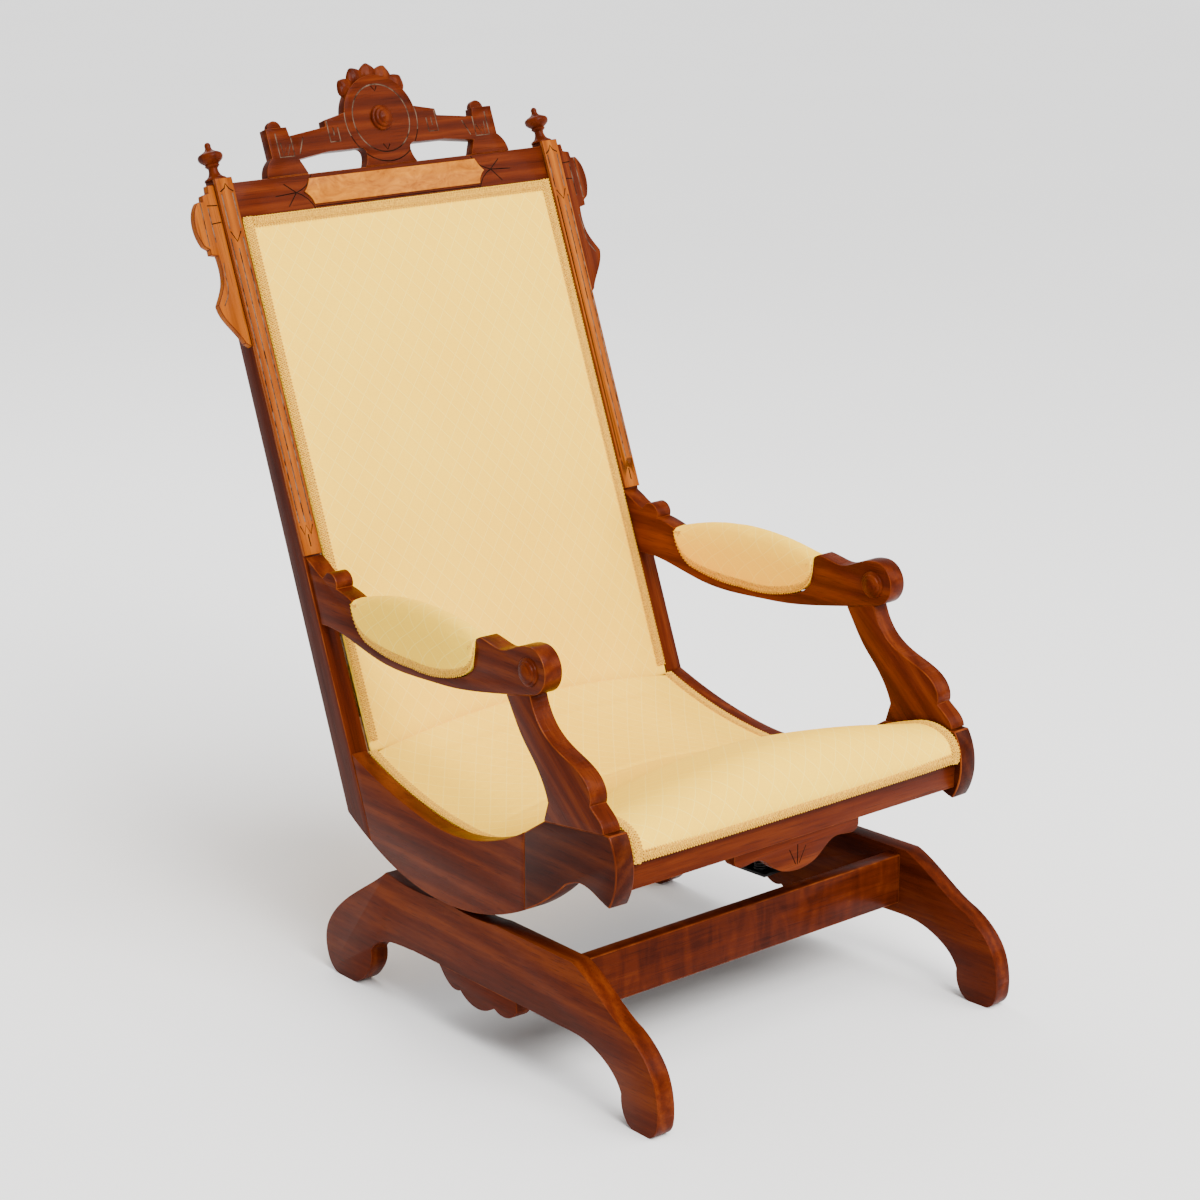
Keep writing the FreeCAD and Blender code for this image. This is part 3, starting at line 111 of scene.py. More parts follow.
def put_down():
    if bpy.context.object and bpy.context.object.mode != "OBJECT":
        bpy.ops.object.mode_set(mode="OBJECT")
    bpy.ops.object.select_all(action="DESELECT")


def take(piece):
    put_down()
    piece.select_set(True)
    bpy.context.view_layer.objects.active = piece


def apply(piece, kind, **settings):
    """Adds a modifier, sets it and applies it."""
    take(piece)
    modifier = piece.modifiers.new(kind.lower(), kind)
    for name, value in settings.items():
        setattr(modifier, name, value)
    bpy.ops.object.modifier_apply(modifier=modifier.name)
    return piece


def smooth(piece, degrees=32):
    take(piece)
    bpy.ops.object.shade_smooth_by_angle(angle=math.radians(degrees))
    return piece


def blank(node, name):
    """A copy of a CAD node with its loose triangles merged into whole faces."""
    piece = bpy.data.objects.new(name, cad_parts[node].data.copy())
    bpy.context.scene.collection.objects.link(piece)
    piece.data.materials.clear()
    take(piece)
    bpy.ops.mesh.customdata_custom_splitnormals_clear()
    bpy.ops.object.mode_set(mode="EDIT")
    bpy.ops.mesh.select_all(action="SELECT")
    bpy.ops.mesh.remove_doubles(threshold=0.00002)
    bpy.ops.mesh.dissolve_limited(angle_limit=math.radians(0.5))
    bpy.ops.object.mode_set(mode="OBJECT")
    return piece


def join(name, pieces):
    put_down()
    for piece in pieces:
        piece.select_set(True)
    bpy.context.view_layer.objects.active = pieces[0]
    if len(pieces) > 1:
        bpy.ops.object.join()
    whole = bpy.context.view_layer.objects.active
    whole.name = name
    whole.data.name = name
    return whole


def rods(name, lines, radius, rounding=1):
    """Round rods along lines of points, as one mesh."""
    curve = bpy.data.curves.new(name, "CURVE")
    curve.dimensions = "3D"
    curve.bevel_depth = radius
    curve.bevel_resolution = rounding
    curve.use_fill_caps = True
    for line in lines:
        closed = (Vector(line[0]) - Vector(line[-1])).length < 1e-6
        points = line[:-1] if closed else line
        spline = curve.splines.new("POLY")
        spline.points.add(len(points) - 1)
        spline.points.foreach_set("co", np.c_[np.array(points, float), np.ones(len(points))].ravel())
        spline.use_cyclic_u = closed
    piece = bpy.data.objects.new(name, curve)
    bpy.context.scene.collection.objects.link(piece)
    take(piece)
    bpy.ops.object.convert(target="MESH")
    return bpy.context.view_layer.objects.active


def turned(name, profile, places, steps=40):
    """A lathe turning: a profile of radius and height, spun once and set at each place."""
    mesh = bpy.data.meshes.new(name)
    points = [(r * MM, 0, h * MM) for r, h in profile]
    mesh.from_pydata(points, [(k, k + 1) for k in range(len(points) - 1)], [])
    piece = bpy.data.objects.new(name, mesh)
    bpy.context.scene.collection.objects.link(piece)
    take(piece)
    bpy.ops.object.mode_set(mode="EDIT")
    bpy.ops.mesh.select_all(action="SELECT")
    bpy.ops.mesh.spin(steps=steps, angle=math.tau, center=(0, 0, 0), axis=(0, 0, 1))
    bpy.ops.mesh.select_all(action="SELECT")
    bpy.ops.mesh.remove_doubles(threshold=0.00005)
    bpy.ops.mesh.normals_make_consistent(inside=False)
    bpy.ops.object.mode_set(mode="OBJECT")
    copies = []
    for place in places:
        copy = bpy.data.objects.new(name, piece.data.copy())
        bpy.context.scene.collection.objects.link(copy)
        copy.data.transform(place)
        copies.append(copy)
    bpy.data.objects.remove(piece)
    return smooth(join(name, copies), 40)


def corners_of(piece):
    flat = np.empty(len(piece.data.vertices) * 3)
    piece.data.vertices.foreach_get("co", flat)
    return flat.reshape(-1, 3)


def set_corners(piece, places):
    piece.data.vertices.foreach_set("co", np.ascontiguousarray(places).ravel())
    piece.data.update()


def fit(piece, body, slot, *nodes):
    """Sets a finished piece on its body, in the place of its CAD nodes."""
    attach(piece, body)
    if nodes:
        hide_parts(*nodes)
    return piece


# Finishes

def finish_called(name):
    finish = bpy.data.materials.new(name)
    finish.use_nodes = True
    tree = finish.node_tree
    tree.nodes.clear()
    shader = tree.nodes.new("ShaderNodeBsdfPrincipled")
    result = tree.nodes.new("ShaderNodeOutputMaterial")
    tree.links.new(shader.outputs[0], result.inputs[0])
    return finish, tree, shader


def add(tree, kind, sockets=None, **settings):
    """A node of the finish, with its sockets set to a value or joined to another node."""
    made = tree.nodes.new(kind)
    for name, value in settings.items():
        setattr(made, name, value)
    for name, value in (sockets or {}).items():
        if isinstance(value, bpy.types.NodeSocket):
            tree.links.new(value, made.inputs[name])
        else:
            made.inputs[name].default_value = value
    return made


def sums(tree, how, a, b=0.0):
    return add(tree, "ShaderNodeMath", {0: a, 1: b}, operation=how).outputs[0]


def ramp(tree, value, stops):
    made = add(tree, "ShaderNodeValToRGB", {0: value})
    elements = made.color_ramp.elements
    while len(elements) < len(stops):
        elements.new(0.5)
    for element, (place, colour) in zip(elements, stops):
        element.position = place
        element.color = (*colour, 1.0)
    return made.outputs[0]


def span(tree, value, low, high, new_low, new_high):
    made = add(tree, "ShaderNodeMapRange", {0: value, 1: low, 2: high, 3: new_low, 4: new_high})
    return made.outputs[0]


def blend_colour(tree, share, first, second, how="MIX"):
    made = tree.nodes.new("ShaderNodeMix")
    made.data_type = "RGBA"
    made.blend_type = how
    for socket, value in ((made.inputs[0], share), (made.inputs[6], first), (made.inputs[7], second)):
        if isinstance(value, bpy.types.NodeSocket):
            tree.links.new(value, socket)
        else:
            socket.default_value = (*value, 1.0) if isinstance(value, tuple) else value
    return made.outputs[2]


def bump(tree, shader, height, strength, distance, below=None):
    made = add(tree, "ShaderNodeBump", {"Height": height, "Strength": strength, "Distance": distance})
    if below:
        tree.links.new(below, made.inputs["Normal"])
    tree.links.new(made.outputs[0], shader.inputs["Normal"])
    return made.outputs[0]


GRAIN_TURNS = {
    "across": (0, math.radians(-90), 0),
    "fore_and_aft": (math.radians(90), 0, 0),
    "up": (0, 0, 0),
    "up_the_back": (LEAN, 0, 0),
    "raked": (math.radians(48), 0, 0),
}


def walnut(name, grain, tone, flame=0.0, heart=(0.06, 0.045)):
    """Old varnished walnut: growth lines, pores and cloudy colour running along one direction.
    tone is its dark, middle and light colour, flame adds wavy bars of light across the grain."""
    finish, tree, shader = finish_called(name)
    place = tree.nodes.new("ShaderNodeTexCoord").outputs["Object"]
    board = add(tree, "ShaderNodeMapping", {"Vector": place, "Rotation": GRAIN_TURNS[grain]}).outputs[0]
    long = add(tree, "ShaderNodeMapping", {"Vector": board, "Location": (heart[0], heart[1], 0.3),
                                           "Scale": (1, 1, 0.07)}).outputs[0]
    drift = add(tree, "ShaderNodeTexNoise", {"Vector": long, "Scale": 9.0, "Detail": 3.0}).outputs["Color"]
    pushed = add(tree, "ShaderNodeVectorMath", {0: drift, "Scale": 0.035}, operation="SCALE").outputs[0]
    bent = add(tree, "ShaderNodeVectorMath", {0: long, 1: pushed}, operation="ADD").outputs[0]
    rings = add(tree, "ShaderNodeTexWave", {"Vector": bent, "Scale": 15.0, "Distortion": 5.0, "Detail": 3.0,
                                            "Detail Scale": 1.2}, wave_type="RINGS",
                rings_direction="Z").outputs["Fac"]
    streaks = add(tree, "ShaderNodeTexNoise", {"Vector": long, "Scale": 150.0, "Detail": 4.0,
                                               "Roughness": 0.6}).outputs["Fac"]
    clouds = add(tree, "ShaderNodeTexNoise", {"Vector": bent, "Scale": 7.0, "Detail": 2.0}).outputs["Fac"]
    mixed = sums(tree, "ADD", sums(tree, "MULTIPLY", rings, 0.17), sums(tree, "MULTIPLY", streaks, 0.42))
    mixed = sums(tree, "ADD", mixed, sums(tree, "MULTIPLY", clouds, 0.62))
    if flame:
        wavy = add(tree, "ShaderNodeTexNoise", {"Vector": add(tree, "ShaderNodeMapping", {
            "Vector": board, "Scale": (0.7, 0.7, 2.6)}).outputs[0], "Scale": 14.0, "Detail": 2.0,
            "Distortion": 1.2}).outputs["Fac"]
        mixed = sums(tree, "ADD", mixed, span(tree, wavy, 0.35, 0.65, -flame, flame))
    dark, middle, light = tone
    colour = ramp(tree, mixed, [(0.32, dark), (0.60, middle), (0.90, light)])
    thin = add(tree, "ShaderNodeMapping", {"Vector": board, "Scale": (1, 1, 0.022)}).outputs[0]
    pores = add(tree, "ShaderNodeTexNoise", {"Vector": thin, "Scale": 900.0, "Detail": 1.0}).outputs["Fac"]
    pores = span(tree, pores, 0.60, 0.70, 0.0, 1.0)
    colour = blend_colour(tree, sums(tree, "MULTIPLY", pores, 0.40), colour, tuple(c * 0.35 for c in dark))
    tree.links.new(colour, shader.inputs["Base Color"])
    rough = span(tree, clouds, 0.3, 0.7, 0.30, 0.42)
    tree.links.new(rough, shader.inputs["Roughness"])
    shader.inputs["Coat Weight"].default_value = 0.03
    shader.inputs["Coat Roughness"].default_value = 0.12
    shader.inputs["Specular IOR Level"].default_value = 0.03
    bump(tree, shader, sums(tree, "SUBTRACT", sums(tree, "MULTIPLY", streaks, 0.4), pores), 0.22, 0.0004)
    return finish


RED_BROWN = ((0.0240, 0.0026, 0.0005), (0.0720, 0.0094, 0.0013), (0.1500, 0.0280, 0.0036))
# A darker copy of the red-brown walnut for the front blocks: painted shade, as their seen faces lie in shade.
SHADED_BROWN = ((0.0120, 0.0015, 0.0004), (0.0340, 0.0044, 0.0008), (0.0740, 0.0130, 0.0020))
ORANGE_BROWN = ((0.1200, 0.0210, 0.0016), (0.2500, 0.0600, 0.0040), (0.3900, 0.1200, 0.0100))
# Lighter walnut for the bevelled arrises: rubbed wear and a painted highlight.
WORN_AND_HIGHLIT = ((0.0560, 0.0076, 0.0011), (0.1200, 0.0210, 0.0028), (0.2100, 0.0480, 0.0065))

WALNUT = {grain: walnut("walnut_" + grain, grain, RED_BROWN) for grain in GRAIN_TURNS}
SHADED_WALNUT = {grain: walnut("shaded_walnut_" + grain, grain, SHADED_BROWN, heart=(0.02, 0.09))
        for grain in ("across", "fore_and_aft", "up")}
LIGHT = {grain: walnut("light_walnut_" + grain, grain, ORANGE_BROWN, heart=(0.11, 0.03))
         for grain in ("up_the_back", "across", "fore_and_aft")}
FLAMED = walnut("flamed_walnut", "across", RED_BROWN, flame=0.09, heart=(0.09, 0.05))
ARRIS_WEAR_AND_HIGHLIGHT = walnut("rubbed_arris_painted_highlight", "up", WORN_AND_HIGHLIT)


def incised(name, deep, paler):
    """The ground of a cut line, mottled between a deeper and a paler colour: in the dark lines it is painted
    shade, in the pale ones dust and painted highlight.
    """
    finish, tree, shader = finish_called(name)
    place = tree.nodes.new("ShaderNodeTexCoord").outputs["Object"]
    groove_mottle = add(tree, "ShaderNodeTexNoise", {"Vector": place, "Scale": 90.0, "Detail": 3.0}).outputs["Fac"]
    tree.links.new(ramp(tree, groove_mottle, [(0.36, deep), (0.62, paler)]), shader.inputs["Base Color"])
    shader.inputs["Roughness"].default_value = 0.7
    shader.inputs["Specular IOR Level"].default_value = 0.03
    return finish


# Dark ground of the cut lines: painted shade in the grooves.
SHADED_GROOVE = incised("groove_painted_shade", (0.006, 0.0020, 0.0010), (0.022, 0.0080, 0.0040))
# Pale ground of the cut lines: grey dust and painted highlight.
DUST_AND_HIGHLIGHT_GROOVE = incised("groove_dust_and_painted_highlight", (0.030, 0.0140, 0.0080), (0.150, 0.100, 0.066))


def burl_veneer():
    """Golden burl: swirling cloud with small dark eyes."""
    finish, tree, shader = finish_called("burl_veneer")
    place = tree.nodes.new("ShaderNodeTexCoord").outputs["Object"]
    flat = add(tree, "ShaderNodeMapping", {"Vector": place, "Rotation": (LEAN, 0, 0),
                                           "Scale": (0.7, 1, 1.1)}).outputs[0]
    swirl = add(tree, "ShaderNodeTexNoise", {"Vector": flat, "Scale": 34.0, "Detail": 6.0, "Roughness": 0.62,
                                             "Distortion": 2.6}).outputs["Fac"]
    eyes = add(tree, "ShaderNodeTexVoronoi", {"Vector": flat, "Scale": 95.0}).outputs["Distance"]
    colour = ramp(tree, swirl, [(0.28, (0.230, 0.060, 0.0030)), (0.50, (0.360, 0.112, 0.0060)),
                                (0.72, (0.480, 0.170, 0.0100))])
    dots = span(tree, eyes, 0.05, 0.20, 0.45, 0.0)
    colour = blend_colour(tree, dots, colour, (0.17, 0.035, 0.004))
    tree.links.new(colour, shader.inputs["Base Color"])
    shader.inputs["Roughness"].default_value = 0.33
    shader.inputs["Coat Weight"].default_value = 0.05
    shader.inputs["Coat Roughness"].default_value = 0.2
    shader.inputs["Specular IOR Level"].default_value = 0.06
    bump(tree, shader, swirl, 0.1, 0.0003)
    return finish


BURL = burl_veneer()


def yellow_cloth():
    """Pale yellow cloth with a fine woven lattice; its pattern follows the piece's own map."""
    finish, tree, shader = finish_called("yellow_cloth")
    flat = add(tree, "ShaderNodeUVMap", uv_map="cloth").outputs[0]
    parts = add(tree, "ShaderNodeSeparateXYZ", {0: flat})
    across, along = parts.outputs[0], parts.outputs[1]
    lines = None
    for turn in (1.0, -1.0):
        slant = sums(tree, "ADD", sums(tree, "MULTIPLY", across, 1 / 0.026),
                     sums(tree, "MULTIPLY", along, turn / 0.031))
        edge = sums(tree, "ABSOLUTE", sums(tree, "SUBTRACT", sums(tree, "FRACT", slant), 0.5))
        line = span(tree, edge, 0.452, 0.486, 0.0, 1.0)
        lines = line if lines is None else sums(tree, "MAXIMUM", lines, line)
    threads = [sums(tree, "SINE", sums(tree, "MULTIPLY", way, math.tau / 0.0011)) for way in (across, along)]
    weave = sums(tree, "MULTIPLY", threads[0], threads[1])
    place = tree.nodes.new("ShaderNodeTexCoord").outputs["Object"]
    worn = add(tree, "ShaderNodeTexNoise", {"Vector": place, "Scale": 5.0, "Detail": 3.0}).outputs["Fac"]
    slubs = add(tree, "ShaderNodeTexNoise", {"Vector": place, "Scale": 420.0, "Detail": 2.0}).outputs["Fac"]
    colour = ramp(tree, worn, [(0.30, (0.950, 0.560, 0.022)), (0.70, (0.980, 0.610, 0.032))])
    colour = blend_colour(tree, span(tree, slubs, 0.35, 0.65, 0.0, 0.20), colour, (0.920, 0.480, 0.016))
    colour = blend_colour(tree, sums(tree, "MULTIPLY", lines, 0.45), colour, (1.0, 0.740, 0.120))
    tree.links.new(colour, shader.inputs["Base Color"])
    tree.links.new(span(tree, lines, 0.0, 1.0, 0.78, 0.55), shader.inputs["Roughness"])
    shader.inputs["Specular IOR Level"].default_value = 0.06
    raised = sums(tree, "ADD", sums(tree, "MULTIPLY", weave, 0.10), sums(tree, "MULTIPLY", lines, -0.5))
    bump(tree, shader, raised, 0.35, 0.0006)
    return finish


CLOTH = yellow_cloth()


def plain_finish(name, dark, light, scale, rough, metal=0.0, dent=0.2):
    """A finish of one colour with a fine even mottle."""
    finish, tree, shader = finish_called(name)
    place = tree.nodes.new("ShaderNodeTexCoord").outputs["Object"]
    mottle = add(tree, "ShaderNodeTexNoise", {"Vector": place, "Scale": scale, "Detail": 4.0}).outputs["Fac"]
    tree.links.new(ramp(tree, mottle, [(0.32, dark), (0.68, light)]), shader.inputs["Base Color"])
    tree.links.new(span(tree, mottle, 0.3, 0.7, rough - 0.08, rough + 0.08), shader.inputs["Roughness"])
    shader.inputs["Metallic"].default_value = metal
    bump(tree, shader, mottle, dent, 0.0003)
    return finish


GOLD_BRAID = plain_finish("gold_braid", (0.480, 0.230, 0.005), (0.780, 0.420, 0.011), 420.0, 0.8)
# The tape's darker gold is painted shade under the cords.
SHADED_BRAID_TAPE = plain_finish("braid_tape_painted_shade", (0.300, 0.120, 0.003), (0.460, 0.200, 0.005), 420.0, 0.85)
IRON = plain_finish("black_iron", (0.010, 0.010, 0.011), (0.030, 0.029, 0.028), 140.0, 0.48, metal=0.6)
SPRING_STEEL = plain_finish("spring_steel", (0.016, 0.015, 0.015), (0.050, 0.047, 0.044), 260.0, 0.38,
                            metal=0.8)
SCREW_STEEL = plain_finish("screw_steel", (0.14, 0.135, 0.13), (0.26, 0.25, 0.24), 300.0, 0.36, metal=0.9)
BARE_BROWN = ((0.150, 0.075, 0.030), (0.300, 0.170, 0.075), (0.420, 0.270, 0.130))
FRAME_WOOD = walnut("frame_wood", "across", BARE_BROWN)
FRAME_WOOD_LONG = walnut("frame_wood_long", "fore_and_aft", BARE_BROWN)
BLACK_CLOTH = plain_finish("black_dust_cloth", (0.012, 0.012, 0.013), (0.030, 0.030, 0.031), 700.0, 0.9)


def striped_cloth(name, ground, thread, stripe, pitch, grain):
    """A coarse woven cloth whose threads cross; stripe darkens its edges."""
    finish, tree, shader = finish_called(name)
    place = tree.nodes.new("ShaderNodeTexCoord").outputs["Object"]
    turned_to = add(tree, "ShaderNodeMapping", {"Vector": place, "Rotation": GRAIN_TURNS[grain]}).outputs[0]
    parts = add(tree, "ShaderNodeSeparateXYZ", {0: turned_to})
    waves = [sums(tree, "SINE", sums(tree, "MULTIPLY", parts.outputs[k], math.tau / pitch)) for k in (0, 2)]
    weave = sums(tree, "MULTIPLY", waves[0], waves[1])
    fuzz = add(tree, "ShaderNodeTexNoise", {"Vector": place, "Scale": 300.0, "Detail": 3.0}).outputs["Fac"]
    colour = ramp(tree, fuzz, [(0.3, ground), (0.7, thread)])
    colour = blend_colour(tree, span(tree, weave, -0.2, 0.6, 0.0, 0.5), colour, stripe)
    tree.links.new(colour, shader.inputs["Base Color"])
    shader.inputs["Roughness"].default_value = 0.85
    bump(tree, shader, weave, 0.4, 0.0005)
    return finish


JUTE = striped_cloth("jute_webbing", (0.30, 0.20, 0.10), (0.46, 0.33, 0.18), (0.18, 0.11, 0.05), 0.0032,
                     "across")
BACK_CLOTH = striped_cloth("plain_back_cloth", (0.800, 0.440, 0.080), (0.860, 0.500, 0.110),
                           (0.700, 0.350, 0.060), 0.0016, "up_the_back")


# Woodwork: every board is a copy of its solid with softened arrises, then its lines are cut

def groove(piece, lines, ground, half_width=0.75):
    """Cuts round-bottomed lines into a board's face."""
    cutter = rods("cutter", lines, half_width * MM)
    cutter.data.materials.append(ground)
    take(piece)
    cut = piece.modifiers.new("lines", "BOOLEAN")
    cut.operation = "DIFFERENCE"
    cut.object = cutter
    cut.solver = "EXACT"
    cut.use_self = True
    cut.material_mode = "TRANSFER"
    bpy.ops.object.modifier_apply(modifier=cut.name)
    bpy.data.objects.remove(cutter)


def board(node, body, finish, arris=1.1, dark=(), pale=(), slot="walnut", width=0.75, segments=2):
    """A board from its solid: worn arrises with a painted highlight, dark cut lines whose ground is painted
    shade, and pale ones of dust and painted highlight.
    """
    piece = blank(node, "worked_" + node)
    piece.data.materials.append(finish)
    piece.data.materials.append(ARRIS_WEAR_AND_HIGHLIGHT)
    # The bevel faces take the lighter arris walnut: wear and painted highlight.
    apply(piece, "BEVEL", width=arris * MM, segments=segments, limit_method="ANGLE",
          angle_limit=math.radians(28), material=1)
    # The dark lines take the painted-shade ground, the pale lines the ground of dust and painted highlight.
    for ground, lines in ((SHADED_GROOVE, dark), (DUST_AND_HIGHLIGHT_GROOVE, pale)):
        if lines:
            groove(piece, lines, ground, width)
    smooth(piece)
    return fit(piece, body, slot, node)


def mirrored(lines):
    """Each line given for the sitter's left, and again for the right."""
    return [list(line) for line in lines] + [[(-x, s) for x, s in line] for line in lines]


UPRIGHT_ON_BACK = Matrix.Rotation(-LEAN, 4, "X")


def on_back(lines, n):
    return [[leaning(x, s, n) for x, s in line] for line in lines]


def ring(centre, radius, first=0.0, last=360.0, steps=48):
    turns = [math.radians(first + (last - first) * k / steps) for k in range(steps + 1)]
    return [(centre[0] + radius * math.cos(t), centre[1] + radius * math.sin(t)) for t in turns]


for side, word in SIDES:
    board("base_side_" + word, "base", WALNUT["fore_and_aft"], 1.6)
    board("base_drop_" + word, "base", WALNUT["fore_and_aft"], 1.6)
    board("rocker_panel_" + word, "chair", WALNUT["fore_and_aft"], 0.9)
    # The front blocks get the darker walnut as painted shade.
    board("front_block_" + word, "chair", SHADED_WALNUT["fore_and_aft"], 1.6)
    board("arm_stump_" + word, "chair", WALNUT["raked"], 1.2)
    board("arm_" + word, "chair", WALNUT["fore_and_aft"], 1.4)
    board("stile_" + word, "chair", WALNUT["up_the_back"], 1.0)
    board("stile_cap_" + word, "chair", WALNUT["across"], 0.9)
board("front_stretcher", "base", FLAMED, 1.5)
board("rear_stretcher", "base", WALNUT["across"], 1.5)
board("seat_front_rail", "chair", WALNUT["across"], 1.0)

# The pendant's lines take the painted-shade ground.
PENDANT_LINES = [[(0, 246), (0, 272)], [(-3, 247), (-14, 268)], [(3, 247), (14, 268)]]
board("front_rail_drop", "chair", WALNUT["across"], 1.2,
      [[standing(x, 2.0, z) for x, z in line] for line in PENDANT_LINES])

FACING_MARKS = [
    [(282, 1079), (275, 1083), (272, 1089), (268, 1082), (262, 1078)],
    [(281, 1027), (274, 1013), (265, 1026)],
    [(283, 640), (279, 628), (274, 640), (269, 628), (264, 640)],
    [(274, 628), (274, 612)],
]
# The flutes take the pale ground of dust and painted highlight; the marks above take the painted-shade
# ground.
FACING_FLUTES = [[(281, 1076), (281, 1030)], [(264, 1076), (264, 1030)],
                 [(283, 1018), (283, 644)], [(274, 1004), (274, 644)], [(264, 1018), (264, 644)]]
for side, word in SIDES:
    marks, flutes = ([[(side * x, s) for x, s in line] for line in lines]
                     for lines in (FACING_MARKS, FACING_FLUTES))
    board("stile_facing_" + word, "chair", LIGHT["up_the_back"], 0.8, on_back(marks, 0.0),
          on_back(flutes, 0.0), "light_walnut", 0.9)

# The ear notches take the painted-shade ground, the ear lines the ground of dust and painted highlight.
EAR_NOTCHES = [[(304, 1064), (288, 1063)], [(303, 1040), (288, 1041)]]
EAR_LINES = [[(313, 1070), (314, 1012)], [(303, 1061), (303, 1016)],
             [(299, 989), (301, 972), (301, 957), (305, 945), (313, 934)]]
for side, word in SIDES:
    notches, lines = ([[(side * x, s) for x, s in line] for line in group]
                      for group in (EAR_NOTCHES, EAR_LINES))
    finish = LIGHT["up_the_back"] if side == RIGHT else WALNUT["up_the_back"]
    board("ear_bracket_" + word, "chair", finish, 0.9, on_back(notches, RAIL_FACE), on_back(lines, RAIL_FACE),
          width=0.8)

# The rail's lines take the painted-shade ground.
RAIL_LINES = mirrored([
    [(163, 1067), (180, 1080)], [(163, 1067), (197, 1065)], [(163, 1067), (179, 1050)],
    [(163, 1067), (154, 1070), (146, 1074), (139, 1080), (134, 1088)],
    [(163, 1067), (155, 1063), (147, 1057), (141, 1049), (138, 1042)],
]) + [[(-138, 1046), (138, 1046)]]
board("crest_rail", "chair", WALNUT["across"], 1.0, on_back(RAIL_LINES, RAIL_FACE), width=0.8)
board("burl_panel", "chair", BURL, 0.5, slot="burl")

CREST_LINES = mirrored([
    [(175, 1147), (175, 1115), (152, 1115), (152, 1147)],
    [(170, 1134), (169, 1117), (162, 1130), (162, 1117), (155, 1131)],
    [(133, 1138), (143, 1117)],
    [(90, 1157), (90, 1128), (74, 1128), (74, 1147)],
    [(82, 1147), (82, 1136)],
]) + [ring(ROUNDEL, 46, -60, 240, 40), ring(ROUNDEL, 59, 168, 200, 6), ring(ROUNDEL, 59, 340, 372, 6)]
# The lower arcs and chevrons of the roundel take the painted-shade ground; the crest's other lines the ground
# of dust and painted highlight.
ROUNDEL_MARKS = [ring(ROUNDEL, 46, 240, 300, 10), ring(ROUNDEL, 59, 200, 340, 24),
                 [(-7, 1118), (-1, 1110), (4, 1117)], [(-5, 1197), (0, 1190), (4, 1196)]]
board("crest_board", "chair", WALNUT["across"], 1.2, on_back(ROUNDEL_MARKS, CREST_FACE),
      on_back(CREST_LINES, CREST_FACE), width=0.9)


def petals():
    """Five plump leaves standing on the rim of the roundel, each drawn to a blunt point."""
    bpy.ops.mesh.primitive_uv_sphere_add(segments=32, ring_count=20, radius=1)
    leaf = bpy.context.object
    across, deep, up = corners_of(leaf).T
    narrow = 1 - 0.46 * np.clip(up, 0, 1) ** 2.0 - 0.10 * np.clip(-up, 0, 1)
    ridge = 1 + 0.22 * np.exp(-(across / 0.20) ** 2) - 0.14 * np.exp(-((np.abs(across) - 0.50) / 0.18) ** 2)
    plump = np.where(deep < 0, 6.4 * ridge, 5.3)
    shaped = np.c_[across * 14.6 * narrow, deep * plump, up * 14.0]
    set_corners(leaf, shaped * MM)
    leaf.data.materials.append(WALNUT["up_the_back"])
    leaves = []
    for turn in (-42, -21, 0, 21, 42):
        reach = 63.0 if abs(turn) < 42 else 62.0
        way = math.radians(turn)
        copy = bpy.data.objects.new("leaf", leaf.data.copy())
        bpy.context.scene.collection.objects.link(copy)
        middle = leaning(reach * math.sin(way), ROUNDEL[1] + reach * math.cos(way), -11.5)
        copy.data.transform(Matrix.Translation(middle) @ UPRIGHT_ON_BACK @ Matrix.Rotation(way, 4, "Y"))
        leaves.append(copy)
    bpy.data.objects.remove(leaf)
    return fit(smooth(join("carved_leaves", leaves), 50), "chair", "walnut", "crest_shell")


FINIAL = [(0, 0), (14.5, 0), (14.5, 1.6), (13.6, 2.8), (10.8, 4.2), (8.4, 6.6), (6.9, 10.0), (6.2, 13.4),
          (6.4, 16.0), (8.2, 17.8), (9.4, 18.8), (9.7, 20.2), (8.8, 21.4), (10.6, 22.8), (13.4, 24.8),
          (15.6, 27.4), (16.4, 30.0), (16.4, 32.0), (15.2, 34.4), (12.4, 36.2), (8.8, 37.8), (6.0, 39.4),
          (4.6, 41.2), (4.0, 43.2), (4.1, 45.0), (4.2, 46.6), (3.5, 48.4), (2.0, 49.8), (0, 50.5)]
for side, word in SIDES:
    place = Matrix.Translation(leaning(side * 273.0, 1097.0, RAIL_FACE - 12.5)) @ UPRIGHT_ON_BACK
    piece = turned("turned_finial_" + word, FINIAL, [place])
    piece.data.materials.append(WALNUT["up_the_back"])
    fit(piece, "chair", "walnut", "finial_" + word)


def rings_and_point(radius, height):
    """Profile of a turned boss: a flat rim, two rings and a point."""
    steps = [(1.0, 0.0), (1.0, 0.10), (0.985, 0.20), (0.94, 0.28), (0.86, 0.31), (0.81, 0.33), (0.79, 0.40),
             (0.77, 0.50), (0.70, 0.58), (0.61, 0.61), (0.56, 0.64), (0.53, 0.72), (0.46, 0.80), (0.34, 0.86),
             (0.22, 0.92), (0.10, 0.98), (0.0, 1.0)]
    return [(0, 0)] + [(radius * r, height * h) for r, h in steps]


